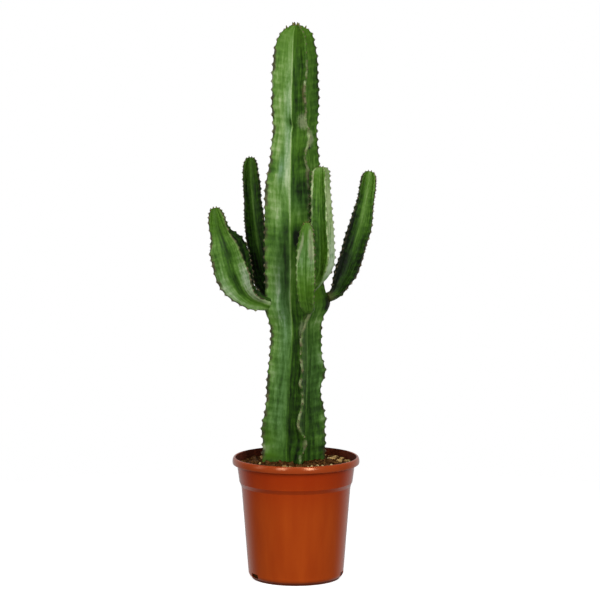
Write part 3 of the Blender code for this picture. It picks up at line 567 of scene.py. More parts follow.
def add_node(tree, kind, inputs=(), out=0, **settings):
    """Adds a node and gives one of its outputs. An input takes a number, a hex colour or another output."""
    node = tree.nodes.new("ShaderNode" + kind)
    for name, value in settings.items():
        if name == "stops":
            ramp = node.color_ramp
            while len(ramp.elements) < len(value):
                ramp.elements.new(0.5)
            for stop, (place, colour) in zip(ramp.elements, value):
                stop.position = place
                stop.color = linear(colour)
        else:
            setattr(node, name, value)
    for name, value in inputs.items() if isinstance(inputs, dict) else enumerate(inputs):
        if isinstance(value, bpy.types.NodeSocket):
            tree.links.new(value, node.inputs[name])
        else:
            node.inputs[name].default_value = linear(value) if isinstance(value, str) else value
    return node.outputs[out] if node.outputs else None


def emptied(owner):
    """Clears a material's or world's nodes, and gives the function that adds new ones."""
    owner.use_nodes = True
    owner.node_tree.nodes.clear()
    return partial(add_node, owner.node_tree)


def euphorbia_skin():
    """Euphorbia skin: green, waxy and satin, painted deeper as shade and paler where bloom covers it.

    Faint pale bands run in from every tooth, a horny margin edges the crests, darker on the outline ribs
    as painted shade, the grooves' floors carry painted highlights and shade, and old wood is corky.
    """
    skin = bpy.data.materials.new("euphorbia_skin")
    add = emptied(skin)
    place = add("TexCoord", out="Object")
    facts = {name: add("Attribute", out="Fac", attribute_name=name) for name in FACTS}

    # Blotches about 25 mm across, strokes that run along a stem, and mottling of 4 mm.
    blotch = add("TexNoise", {"Vector": place, "Scale": 42.0, "Detail": 3.0})
    mottle = add("TexNoise", {"Vector": place, "Scale": 260.0, "Detail": 4.0, "Roughness": 0.6})
    on_rib = add("CombineXYZ", (facts["crest"], facts["strip"], facts["phase"]))
    along = add("Mapping", {"Vector": on_rib, "Scale": (7.0, 1.7, 0.34)})
    streak = add(
        "TexNoise", {"Vector": along, "Scale": 1.0, "Detail": 4.0, "Roughness": 0.6, "Distortion": 0.3}
    )

    # Paleness: the side's tone, partly painted shade and painted light, the band at each tooth, blotches,
    # strokes and mottling.
    turn = add("Math", (facts["phase"], 2 * math.pi), operation="MULTIPLY")
    wave = add("Math", (turn,), operation="COSINE")
    band = add("MapRange", (wave, -0.3, 1.0, -0.03, 0.10), **SMOOTH)
    band = add("Math", (band, facts["crest"]), operation="MULTIPLY")
    pale = add("Math", (facts["tone"], band), operation="ADD")
    for grain, low, high, reach in (
        (blotch, 0.32, 0.68, 0.08), (streak, 0.34, 0.66, 0.16), (mottle, 0.34, 0.68, 0.05)
    ):
        part = add("MapRange", (grain, low, high, -reach, reach))
        pale = add("Math", (pale, part), operation="ADD")
    green = add("ValToRGB", (pale,), stops=SKIN_GREENS)
    waxy = add("ValToRGB", (pale,), stops=WAX_GREENS)

    # Over it, one on the other: wax, fresh growth, the horny margin, darker on the outline ribs as painted
    # shade, the neck's bark, brown scars and cork.
    grainy = add("Math", (mottle, 0.35, facts["margin"]), operation="MULTIPLY_ADD")
    horn = add("ValToRGB", (grainy,), stops=MARGIN_HORN)
    crumbled = add("Mix", {0: 0.55, 2: streak, 3: mottle})
    worn = []
    for name, low, high in (("scar", 0.16, 0.46), ("cork", 0.18, 0.62)):
        broken = add("Math", (facts[name], crumbled), operation="MULTIPLY")
        worn.append(add("MapRange", (broken, low, high, 0.0, 0.85), **SMOOTH))
    scar, cork = worn
    for share, over in (
        (facts["cool"], waxy), (facts["young"], "#47700c"), (facts["horn"], horn),
        (facts["neck"], "#585a2c"), (scar, "#665a3c"), (cork, "#909c72"),
    ):
        green = add("Mix", {0: share, 6: green, 7: over}, 2, **RGBA)

    # Pores and fine creases, drawn coarser than real so that they show.
    crease = add("Math", (streak, 0.7, mottle), operation="MULTIPLY_ADD")
    gloss = add("MapRange", (mottle, 0.3, 0.7, 0.55, 0.70))
    shader = add("BsdfPrincipled", {
        "Base Color": green,
        "Roughness": add("Mix", {0: cork, 2: gloss, 3: 0.8}),
        "Normal": add("Bump", {"Height": crease, "Strength": 0.5, "Distance": 0.0006}),
        "IOR": 1.40,
        "Specular IOR Level": 0.3,
    })
    add("OutputMaterial", {"Surface": shader})
    return skin


def terracotta_polypropylene():
    """Polypropylene pigmented terracotta, injection moulded: even colour, glossy, with faint flow marks.

    Inside, above the soil, and on the rim's top at the back, the wall is dark with dried peat staining and
    painted shade.
    The foot is painted dark as a contact shadow. Light that comes straight off it takes some of its colour.
    """
    plastic = bpy.data.materials.new("moulded_polypropylene_terracotta")
    add = emptied(plastic)
    place = add("TexCoord", out="Object")
    height = add("SeparateXYZ", (place,), "Z")
    tall = add("Mapping", {"Vector": place, "Scale": (60.0, 60.0, 9.0)})
    flow = add("TexNoise", {"Vector": tall, "Scale": 1.0, "Detail": 3.0})
    dust = add("TexNoise", {"Vector": place, "Scale": 190.0, "Detail": 6.0, "Roughness": 0.7})
    colour = add("ValToRGB", (flow,), stops=[(0.3, "#a73e0e"), (0.7, "#b24711")])

    # The wall is painted redder and darker towards the rim as shade under it, the rim is browner,
    # and dust, peat staining with painted shade, and the foot's painted shadow lie over both.
    # Painted shade under the rim.
    rim_shade = add("MapRange", (height, 0.085, RIM_SKIRT_Z, 0.0, 0.7), **SMOOTH)
    rimmed = add("MapRange", (height, RIM_SKIRT_Z - 0.001, RIM_SKIRT_Z + 0.001, 0.0, 0.45), **SMOOTH)
    specks = add("MapRange", (dust, 0.68, 0.8, 0.0, 0.22))
    # Peat staining inside the pot and on the rim's back, partly painted shade.
    stained = add("Attribute", out="Fac", attribute_name="stained")
    stain_shade_and_foot_shadow = add("MapRange", (dust, 0.2, 0.55, 0.7, 1.0), **SMOOTH)
    stain_shade_and_foot_shadow = add("Math", (stain_shade_and_foot_shadow, stained), operation="MULTIPLY")
    # Painted contact shadow along the foot, where the pot meets the floor.
    foot_shadow = add("MapRange", (height, 0.0020, 0.0062, 0.74, 0.0), **SMOOTH)
    stain_shade_and_foot_shadow = add("Math", (stain_shade_and_foot_shadow, foot_shadow), operation="MAXIMUM")
    for share, over in ((rim_shade, "#a02a05"), (rimmed, "#9e4a1e"), (specks, "#7a4a30"), (stain_shade_and_foot_shadow, "#43190c")):
        colour = add("Mix", {0: share, 6: colour, 7: over}, 2, **RGBA)
    smooth = add("MapRange", (dust, 0.35, 0.75, 0.18, 0.26))
    gleam = add("MapRange", (height, RIM_SKIRT_Z, RIM_SKIRT_Z + 0.002, 0.5, 1.0), **SMOOTH)
    shader = add("BsdfPrincipled", {
        "Base Color": colour,
        "Roughness": add("Mix", {0: stain_shade_and_foot_shadow, 2: smooth, 3: 0.8}),
        "Normal": add("Bump", {"Height": dust, "Strength": 0.08, "Distance": 0.0003}),
        "IOR": 1.49,
        "Specular IOR Level": add("Mix", {0: stain_shade_and_foot_shadow, 2: gleam, 3: 0.15}),
        "Specular Tint": "#ffc79c",
    })
    add("OutputMaterial", {"Surface": shader})
    return plastic


def grained(name, stops, grain, looks, depth=0.0):
    """A finish with one grain in it. The grain's scale goes by the metre, and the depth is its relief."""
    made = bpy.data.materials.new(name)
    add = emptied(made)
    grain = add("TexNoise", {"Vector": add("TexCoord", out="Object"), **grain})
    looks = {"Base Color": add("ValToRGB", (grain,), stops=stops), **looks}
    if depth:
        looks["Normal"] = add("Bump", {"Height": grain, "Strength": 0.8, "Distance": depth})
    add("OutputMaterial", {"Surface": add("BsdfPrincipled", looks)})
    return made


def earth(name, stops, scale, roughness, depth):
    """A matt crumbly finish."""
    grain = {"Scale": scale, "Detail": 6.0, "Roughness": 0.7}
    return grained(name, stops, grain, {"Roughness": roughness, "Specular IOR Level": 0.1}, depth)


def between(table, at):
    """A table's values at some places, on a smooth curve through its rows."""
    table = np.array(table, float)
    places, values = table[:, 0], table[:, 1:]
    at = np.clip(at, places[0], places[-1])
    n = np.clip(np.searchsorted(places, at), 1, len(places) - 1)
    before, after = np.maximum(n - 2, 0), np.minimum(n + 1, len(places) - 1)
    span = places[n] - places[n - 1]
    t = ((at - places[n - 1]) / span)[:, None]
    lead = (span / (places[n] - places[before]))[:, None]
    trail = (span / (places[after] - places[n - 1]))[:, None]
    slope0 = (values[n] - values[before]) * lead
    slope1 = (values[after] - values[n - 1]) * trail
    t2, t3 = t * t, t * t * t
    ends = values[n - 1] * (2 * t3 - 3 * t2 + 1) + values[n] * (3 * t2 - 2 * t3)
    found = ends + slope0 * (t3 - 2 * t2 + t) + slope1 * (t3 - t2)
    return found if found.shape[1] > 1 else found[:, 0]


def eased(share):
    share = np.clip(share, 0.0, 1.0)
    return share * share * (3 - 2 * share)


def rippled(places, seed, kind):
    """A smooth random number from -1 to 1 for each place on a line. The seed keeps the curves apart."""
    return np.array([noise.noise(Vector((p / PITCHES[kind], seed * 7.3, 0.5))) for p in places]) * 1.6


class Form:
    """Where the points of a stem lie, by rib, distance from the root, and place in the section."""

    def __init__(self, stem):
        self.stem = stem
        points = np.array(stem.route)
        steps = np.linalg.norm(np.diff(points, axis=0), axis=1)
        self.path = np.column_stack([np.concatenate([[0.0], np.cumsum(steps)]), points])
        self.length = self.path[-1][0]
        self.end = stem.girth[-1][0] * self.length

    def frames(self, at):
        """The route's points, and the turns from upright to along the route."""
        low = between(self.path, np.maximum(at - TANGENT_REACH, 0.0))
        high = between(self.path, np.minimum(at + TANGENT_REACH, self.length))
        along = high - low
        along /= np.linalg.norm(along, axis=1)[:, None]
        x, y, z = along.T
        grip = 1.0 / (1.0 + z)
        cross = -x * y * grip
        turns = np.array([[1 - x * x * grip, cross, x], [cross, 1 - y * y * grip, y], [-x, -y, z]])
        return between(self.path, at), turns.transpose(2, 0, 1)

    def dome(self, at):
        share = np.clip((at - self.end) / (self.length - self.end), 0.0, 1.0)
        return np.sqrt(1.0 - share * share)

    def girth(self, at):
        return between(self.stem.girth, at / self.length) * self.dome(at)

    def heading(self, rib, at):
        return np.radians(RIB_HEADING + between(self.stem.twist, at / self.length)) + RIB_TURN * rib

    def swell(self, rib, at):
        """How far growth pushes a rib's crest out, and its sides apart."""
        table = self.stem.swells.get(rib)
        return between(table, at / self.length).T if table else np.zeros((2, len(at)))

    def phase(self, rib, at):
        """Counts the teeth along a rib. They crowd together towards the tip."""
        stem = self.stem
        crowd = np.clip((at - self.end + TIP_REACH) / TIP_REACH, 0.0, 2.0)
        return (at - stem.first_tooth) / stem.pitch - 0.5 * (rib % 2) + TIP_CROWD * crowd * crowd

    def teeth(self, rib):
        """Distances from the root of a rib's teeth."""
        grid = np.linspace(0.0, self.length, 2000)
        last = self.phase(rib, np.array([self.end + TIP_LAST]))[0]
        return np.interp(np.arange(0, math.floor(last) + 1), self.phase(rib, grid), grid)

    def rings(self):
        """Distances of the skin's rings from the root, closer on the rounded end."""
        shaft = np.linspace(0.0, self.end, round(self.end / self.stem.ring_pitch) + 1)
        turn = np.linspace(0.0, math.pi / 2, DOME_RINGS + 1)[1:]
        return np.concatenate([shaft, self.end + (self.length - self.end) * np.sin(turn)])

    def toothed(self, at):
        return eased((at - self.stem.first_tooth + self.stem.pitch) / self.stem.pitch)

    def crest_rise(self, rib, at):
        """How far teeth and growth make a crest stand out from its even line."""
        stem = self.stem
        turn = 2 * math.pi * self.phase(rib, at)
        low, high = stem.bare.get(rib, (-1.0, -1.0))
        worn = 1.0 - WORN_MOST * eased((at - low) / WORN_FADE) * eased((high - at) / WORN_FADE)
        size = np.minimum(1.0, self.girth(at) / TOOTH_FULL_R)
        teeth = stem.tooth * (TOOTH_FIRST * np.cos(turn) + TOOTH_SECOND * np.cos(2 * turn))
        growth = CREST_GROWTH * rippled(at, rib + len(stem.name), "growth")
        return (teeth * self.toothed(at) * worn + growth) * size + self.swell(rib, at)[0] * self.dome(at)

    def crest_sway(self, rib, at):
        """How far a crest strays sideways."""
        size = np.minimum(1.0, self.girth(at) / SWAY_FULL_R)
        sway = CREST_SWAY * size * rippled(at, rib + 20 + len(self.stem.name), "sway")
        table = self.stem.sways.get(rib)
        return sway + between(table, at / self.length) if table else sway

    def place(self, rib, at, out, side):
        """Points out along a rib and to its side, at some distances from the root."""
        points, turns = self.frames(at)
        a = self.heading(rib, at)
        x, y = out * np.cos(a) - side * np.sin(a), out * np.sin(a) + side * np.cos(a)
        return points + np.einsum("nij,nj->ni", turns, np.stack([x, y, 0.0 * out], axis=1)), turns

    def ways(self, rib, distance, turn):
        """The ways out along a rib and up along its stem, where the stem has some turn from upright."""
        a = self.heading(rib, np.array([distance]))[0]
        turn = Matrix(turn.tolist())
        return turn @ Vector((math.cos(a), math.sin(a), 0.0)), turn @ Vector((0.0, 0.0, 1.0))


def half_section(radius, swell):
    """(out, side, share of the way) of a half rib from the groove to the crest, for each ring.

    The first two are shares of the crest's radius. The swell is how much thicker the rib is there.
    """
    thick = np.minimum(CREST_HALF / np.maximum(radius, 1e-6), CREST_HALF_SHARE)[:, None]
    more = (swell / np.maximum(radius, 1e-6))[:, None]
    crest, knee = thick + more, FLANK_SIDE + more
    start = GROOVE * math.sqrt(0.5) + 0.3 * more
    reach = np.hypot(FLANK_OUT - start, knee - start)
    to_out, to_side = (FLANK_OUT - start) / reach, (knee - start) / reach
    # The floor's rounding is a curve pulled towards the corner where two ribs meet.
    u = np.linspace(0.5, 1.0, VALLEY_STEPS + 1)[None, :-1]
    v = np.linspace(0.0, 1.0, RISE_STEPS + 1)[None, :-1] * (reach - VALLEY_ROUND) + VALLEY_ROUND
    w = np.linspace(0.0, 1.0, FLANK_STEPS + 1)[None, :-1]
    t = np.linspace(0.0, math.pi / 2, CREST_STEPS + 1)[None, :]
    out = np.concatenate([
        start + VALLEY_ROUND * (u * u * to_out + (1 - u) ** 2 * to_side),
        start + v * to_out,
        FLANK_OUT + (1 - crest - FLANK_OUT) * w,
        1 - crest + crest * np.sin(t),
    ], axis=1)
    side = np.concatenate([
        start + VALLEY_ROUND * (u * u * to_side + (1 - u) ** 2 * to_out),
        start + v * to_side,
        knee + (crest - knee) * w,
        crest * np.cos(t),
    ], axis=1)
    # The knee half way up is eased, so that no line shows along it.
    n = VALLEY_STEPS + RISE_STEPS
    for line in (out, side):
        line[:, n] = 0.5 * line[:, n] + 0.25 * (line[:, n - 1] + line[:, n + 1])
    gone = np.hypot(np.diff(out, axis=1), np.diff(side, axis=1)).cumsum(axis=1)
    return out, side, np.concatenate([np.zeros((len(radius), 1)), gone / gone[:, -1:]], axis=1)


def marked(stem, rib, sign, heights, share):
    """How much there is of each kind of mark, along one line of a rib's side."""
    marks = {kind: np.zeros(len(heights)) for kind in MARK_KINDS}
    for kind, sides, rows in stem.marks:
        if (rib, sign) in sides:
            for height, half_length, centre, half_width, amount in rows:
                up, across = (heights - height) / half_length, (share - centre) / half_width
                marks[kind] += amount * np.exp(-(up**2 + across**2))
    return marks


def stem_skin(form):
    """Rings of points over a stem, and what its finish reads at each of them."""
    stem = form.stem
    at = form.rings()
    radius, toothed = form.girth(at), form.toothed(at)
    neck = 1.0 - eased(at / stem.neck) if stem.neck else np.zeros(len(at))
    heights = form.frames(at)[0][:, 2]
    bloom = between(stem.bloom, at / form.length)
    young = YOUNG_MOST * eased((at - form.end + YOUNG_REACH) / YOUNG_REACH)
    points, reads = [], []
    for rib in range(RIBS):
        rise, sway = form.crest_rise(rib, at), form.crest_sway(rib, at)
        spotted = stem.spotted[rib]
        patchy = 0.72 + (0.3 + 4.2 * spotted) * rippled(at, rib + 40 + len(stem.name), "patches")
        patchy = np.clip(patchy, 0.30 - spotted, 1.0)
        margin = 0.92 * stem.horny[rib] * patchy * (0.15 + 0.85 * toothed)
        spotty = spotted * rippled(at, rib + 60, "spots")
        out, side, share = half_section(radius, form.swell(rib, at)[1] * form.dome(at))
        # The round neck turns into the ribbed section.
        bow = (math.pi / 4) * (1 - share)
        round_r = ROUND_GROOVE + (1 - ROUND_GROOVE) * share
        out = out + (round_r * np.cos(bow) - out) * neck[:, None]
        side = side + (round_r * np.sin(bow) - side) * neck[:, None]
        for sign in (-1, 1):
            ragged = RAGGED_EDGE * rippled(at, rib + 80 + 9 * sign, "edge")
            # One side runs up to the crest, and the other back down to the groove.
            for j in range(0, out.shape[1]) if sign < 0 else range(out.shape[1] - 2, 0, -1):
                s = share[:, j]
                phase = form.phase(rib, at + BAND_SLANT * stem.pitch * (1 - s))
                hollow = np.sin(math.pi * s) * toothed * np.minimum(1.0, radius / BAND_FULL_R)
                bands = BAND_DEPTH * np.cos(2 * math.pi * phase) * hollow
                middle = 0.8 * s[len(s) // 2]
                lumps = FLANK_GROWTH * hollow * rippled(at, 3.1 * rib + sign + middle, "lumps")
                marks = marked(stem, rib, sign, heights, s)
                o = radius * out[:, j] + rise * s**3 + FLANK_SHARE * (bands + lumps) - marks["dent"]
                w = radius * side[:, j] + bands + lumps - marks["dent"]
                points.append(form.place(rib, at, o, sign * w + sway * s * s)[0])
                # The groove's floor takes a painted highlight where its value is high and painted shade where
                # it is low.
                floor = eased(s / stem.vein_width)
                tone = stem.vein * (1 - floor) + stem.tones[rib][(sign + 1) // 2] * floor
                start = stem.horn_start[rib] + ragged
                reads.append({
                    "crest": s,
                    "phase": phase,
                    "strip": np.full(len(at), 8.0 * len(stem.name) + 2 * rib + (sign > 0)),
                    "cool": np.clip(marks["cool"], 0.0, 1.0),
                    "tone": bloom * tone + marks["tone"],
                    "neck": 0.8 * stem.bark * neck**2,
                    "young": np.minimum(0.85, young + marks["fresh"]),
                    "cork": marks["cork"],
                    "scar": marks["scar"],
                    "horn": eased((s - start) / HORN_FADE) * margin * (1 - marks["plain"]),
                    "margin": 0.7 * np.clip(stem.margins[rib] + spotty, 0.0, 1.0),
                })
    rows = np.stack(points, axis=1)
    root = np.repeat(rows[:1].mean(axis=1, keepdims=True), rows.shape[1], axis=1)
    facts = {name: np.stack([read[name] for read in reads], axis=1) for name in FACTS}
    facts = {name: np.concatenate([values[:1], values], axis=0) for name, values in facts.items()}
    return np.concatenate([root, rows], axis=0), facts


def shape(operator, **settings):
    """One of Blender's own shapes as a new object, without a texture map, and with its place applied."""
    bpy.ops.object.select_all(action="DESELECT")
    operator(calc_uvs=False, **settings)
    bpy.ops.object.transform_apply(location=True, rotation=True, scale=True)
    return bpy.context.object


@contextmanager
def all_in_edit_mode():
    bpy.ops.object.mode_set(mode="EDIT")
    bpy.ops.mesh.select_all(action="SELECT")
    yield
    bpy.ops.object.mode_set(mode="OBJECT")


def wrapped(name, rows, facts, finish):
    """A closed skin over rings of points, from one pole to the other."""
    rings, around = rows.shape[:2]
    skin = shape(bpy.ops.mesh.primitive_grid_add, x_subdivisions=around, y_subdivisions=rings - 1)
    skin.name = name
    mesh = skin.data
    mesh.vertices.foreach_set("co", np.concatenate([rows, rows[:, :1]], axis=1).ravel())
    for fact, values in facts.items():
        layer = mesh.attributes.new(fact, "FLOAT", "POINT")
        layer.data.foreach_set("value", np.concatenate([values, values[:, :1]], axis=1).ravel())
    with all_in_edit_mode():
        bpy.ops.mesh.remove_doubles(threshold=0.000002)
        bpy.ops.mesh.normals_make_consistent(inside=False)
    bpy.ops.object.shade_smooth()
    mesh.materials.append(finish)
    return skin


def strewn(name, master, places, finish):
    """Copies of the master in one mesh, each with its own matrix. The master is removed."""
    mesh = master.data
    count = len(mesh.vertices)
    co = np.empty(count * 3)
    mesh.vertices.foreach_get("co", co)
    co = np.concatenate([co.reshape(-1, 3), np.ones((count, 1))], axis=1)
    faces = [tuple(p.vertices) for p in mesh.polygons]
    matrices = np.array([[list(row) for row in m] for m in places])
    points = np.einsum("nij,vj->nvi", matrices[:, :3, :], co).reshape(-1, 3)
    all_faces = [tuple(v + n * count for v in face) for n in range(len(places)) for face in faces]
    made = bpy.data.meshes.new(name)
    made.from_pydata(points.tolist(), [], all_faces)
    piece = bpy.data.objects.new(name, made)
    bpy.context.scene.collection.objects.link(piece)
    made.materials.append(finish)
    made.shade_smooth()
    bpy.data.objects.remove(master, do_unlink=True)
    return piece


def spine_master():
    """One spine, 1 long along +Z: a stout cone that bends a little."""
    cone = {"vertices": 6, "radius1": 0.24, "radius2": 0.03, "depth": 1.1, "location": (0, 0, 0.45)}
    spine = shape(bpy.ops.mesh.primitive_cone_add, **cone)
    with all_in_edit_mode():
        bpy.ops.mesh.bisect(plane_co=(0, 0, 0.45), plane_no=(0, 0, 1))
        bpy.ops.transform.translate(value=(0.0, -0.05, 0.0))
    return spine


def shield_master():
    """One spine shield, 1 across and flat along Z: a low dome with a raised middle."""
    shield = shape(bpy.ops.mesh.primitive_uv_sphere_add, segments=8, ring_count=5, radius=0.5)
    with all_in_edit_mode():
        bpy.ops.transform.resize(value=(1.0, 1.0, 0.5))
    return shield


def scale_master():
    """One tip scale, 1 long along +Z: a pointed blade, thicker at its foot."""
    cone = {"vertices": 8, "radius1": 0.52, "radius2": 0.12, "depth": 1.2, "location": (0, 0, 0.4)}
    scale = shape(bpy.ops.mesh.primitive_cone_add, **cone)
    with all_in_edit_mode():
        bpy.ops.transform.resize(value=(0.65, 1.0, 1.0), center_override=(0.0, 0.0, 0.0))
        bpy.ops.mesh.bisect(plane_co=(0, 0, 0.5), plane_no=(0, 0, 1))
        bpy.ops.transform.resize(value=(1.25, 1.25, 1.0), center_override=(0.0, 0.0, 0.5))
    return scale


def crumb_master(detail, jitter, seed):
    """An irregular lump about 1 across."""
    lump = shape(bpy.ops.mesh.primitive_ico_sphere_add, subdivisions=detail, radius=0.5)
    for vertex in lump.data.vertices:
        vertex.co *= 1.0 + jitter * noise.noise(vertex.co * 3.1 + Vector((seed, 0, 0)))
    return lump


def chip_master(seed):
    """A splinter of bark 1 long: a flat block with worn, uneven edges."""
    chip = shape(bpy.ops.mesh.primitive_cube_add, size=1.0)
    with all_in_edit_mode():
        bpy.ops.mesh.subdivide(number_cuts=2)
    for vertex in chip.data.vertices:
        vertex.co += 0.24 * noise.noise_vector(vertex.co * 1.9 + Vector((seed, 3.0, 0)))
        vertex.co.y *= 1.0 - 0.5 * abs(vertex.co.x) * 2
    return chip


def tooth_frames(form, rib):
    """(distance, point on the crest, normal, sideways, upward) at each tooth of a rib."""
    at = form.teeth(rib)
    low, high = form.stem.bare.get(rib, (0.0, 0.0))
    at = at[(at < low) | (at > high)]
    lower = form.girth(np.maximum(at - LEAN_REACH, 0.0))
    upper = form.girth(np.minimum(at + LEAN_REACH, form.length))
    lean = np.arctan2(lower - upper, 2 * LEAN_REACH)
    points, turns = form.place(rib, at, form.girth(at) + form.crest_rise(rib, at), form.crest_sway(rib, at))
    for n, distance in enumerate(at):
        outward, upward = form.ways(rib, distance, turns[n])
        normal = (outward * math.cos(lean[n]) + upward * math.sin(lean[n])).normalized()
        sideways = upward.cross(outward).normalized()
        yield distance, Vector(points[n]), normal, sideways, normal.cross(sideways)


def axes(*ways):
    """The turn that takes X, Y and Z to three ways."""
    return Matrix(ways).transposed().to_4x4()


def sized(*sizes):
    return Matrix.Diagonal((*sizes, 1.0))


def tip_scales(form, draw):
    """Places of the small scales that crowd on the ends of the ribs."""
    places = []
    for rib in range(RIBS):
        for depth, reach, share, most in TUFT_RINGS:
            at = np.array([form.length - depth * form.stem.tuft])
            points, turns = form.place(rib, at, reach * form.girth(at), 0.0 * at)
            outward, upward = form.ways(rib, at[0], turns[0])
            way = (upward + outward * (most * draw.uniform(0.6, 1.4))).normalized()
            across = way.cross(outward).normalized()
            length = form.stem.tuft * share * draw.uniform(0.85, 1.1)
            turn = axes(across.cross(way), across, way)
            places.append(Matrix.Translation(Vector(points[0])) @ turn @ sized(length, length, length))
    return places


def dress_stem(form, finishes, draw):
    """The skin, spine shields, spines and tip scales of one stem."""
    stem = form.stem
    skin = wrapped(f"{stem.name}_skin", *stem_skin(form), finishes["skin"])
    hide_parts(stem.name)
    spines, shields = [], []
    for rib in range(RIBS):
        for distance, point, normal, sideways, upward in tooth_frames(form, rib):
            girth = form.girth(np.array([distance]))[0]
            size = min(1.0, SPINE_LEAST + girth / SPINE_FULL_R) * stem.armed[rib]
            basis = axes(sideways, upward, normal)
            pad = sized(*[size * s * draw.uniform(0.85, 1.15) for s in SHIELD_SIZE])
            shields.append(Matrix.Translation(point - normal * SHIELD_SUNK) @ basis @ pad)
            for sign in (-1, 1):
                splay = math.radians(draw.uniform(*SPINE_SPLAY)) * sign
                rise = math.radians(draw.uniform(*SPINE_RISE))
                length = size * draw.uniform(*SPINE_LENGTH)
                foot = Matrix.Translation(point + sideways * (sign * SPINE_FOOT * size))
                turn = Euler((-rise, splay, 0.0)).to_matrix().to_4x4()
                spines.append(foot @ basis @ turn @ sized(length, length, length))
    return [
        skin,
        strewn(f"{stem.name}_shields", shield_master(), shields, finishes["shield"]),
        strewn(f"{stem.name}_spines", spine_master(), spines, finishes["horn"]),
        strewn(f"{stem.name}_tip_scales", scale_master(), tip_scales(form, draw), finishes["scale"]),
    ]


def arc(centre, radius, start, end, steps):
    """Points on an arc of a profile, by degrees from +X towards +Z."""
    angles = [math.radians(start + (end - start) * i / steps) for i in range(steps + 1)]
    return [(centre[0] + radius * math.cos(a), centre[1] + radius * math.sin(a)) for a in angles]


def pot_profile():
    """(radius, height) from the floor up the inside, over the rim, and down the outside."""
    inside = [(CENTRE_R, FLOOR), *INNER_WALL, (BAND_TOP_R - WALL + 0.0006, RIM_SKIRT_Z + 0.0030)]
    lip = arc((RIM_R - RIM_WIDTH + 0.0016, POT_HEIGHT - 0.0016), 0.0016, 160, 90, 4)
    edge = [
        (RIM_R - RIM_ROUND[0] * (1 - math.cos(a)), POT_HEIGHT - RIM_ROUND[1] * (1 - math.sin(a)))
        for a in (math.radians(90 - 9 * n) for n in range(11))
    ]
    bead = [(RIM_R - 0.0001, RIM_SKIRT_Z + 0.0018), (RIM_R - 0.0003, RIM_SKIRT_Z + 0.0010)]
    curl = arc((RIM_R - 0.0012, RIM_SKIRT_Z + 0.0010), 0.0009, -20, -160, 5)
    hollow = [
        (RIM_R - SKIRT_WALL, RIM_SKIRT_Z + SKIRT_HOLLOW),
        (BAND_TOP_R + 0.0008, RIM_SKIRT_Z + SKIRT_HOLLOW + 0.0003),
        (BAND_TOP_R + 0.0001, RIM_SKIRT_Z + SKIRT_HOLLOW - 0.0006),
    ]
    band = [
        (BAND_TOP_R - 0.0002, RIM_SKIRT_Z - 0.0008),
        (0.5 * (BAND_TOP_R + BAND_FOOT[0]), 0.5 * (RIM_SKIRT_Z + BAND_FOOT[1])),
        (BAND_FOOT[0] + 0.0002, BAND_FOOT[1] + 0.0012),
        *arc((BAND_FOOT[0] - 0.0011, BAND_FOOT[1] + 0.0004), 0.0012, 10, -62, 5),
    ]
    step = arc((STEP_FOOT[0] + 0.0022, STEP_FOOT[1] + 0.0010), 0.0020, 128, 184, 4)
    wall = [
        [top + (foot - top) * share for top, foot in zip(STEP_FOOT, WALL_FOOT)]
        for share in (0.02, 0.2, 0.4, 0.6, 0.8, 0.97)
    ]
    corner = arc((WALL_FOOT[0] - 0.0082, 0.0092), 0.0080, 5, -60, 8)
    foot = arc((BASE_R - 0.0008, 0.0012), 0.0012, -25, -90, 4)
    under = [(BASE_R - 0.0045, 0.0), (BASE_R - 0.0055, 0.0008), (CENTRE_R, 0.0008)]
    return inside + lip + edge + bead + curl + hollow + band + step + wall + corner + foot + under


def rings_of(name, sides, profile):
    """A ring drawn out along a profile, ring by ring, and closed at both ends."""
    (r, z), rest = profile[0], profile[1:]
    piece = shape(bpy.ops.mesh.primitive_circle_add, vertices=sides, radius=r, location=(0, 0, z))
    piece.name = name
    with all_in_edit_mode():
        bpy.ops.mesh.edge_face_add()
        bpy.ops.mesh.select_all(action="DESELECT")
        bpy.ops.mesh.select_non_manifold()
        for next_r, next_z in rest:
            bpy.ops.mesh.extrude_edges_move(TRANSFORM_OT_translate={"value": (0.0, 0.0, next_z - z)})
            bpy.ops.transform.resize(value=(next_r / r, next_r / r, 1.0), center_override=(0.0, 0.0, 0.0))
            r, z = next_r, next_z
        bpy.ops.mesh.edge_face_add()
        bpy.ops.mesh.select_all(action="SELECT")
        bpy.ops.mesh.normals_make_consistent(inside=False)
    return piece


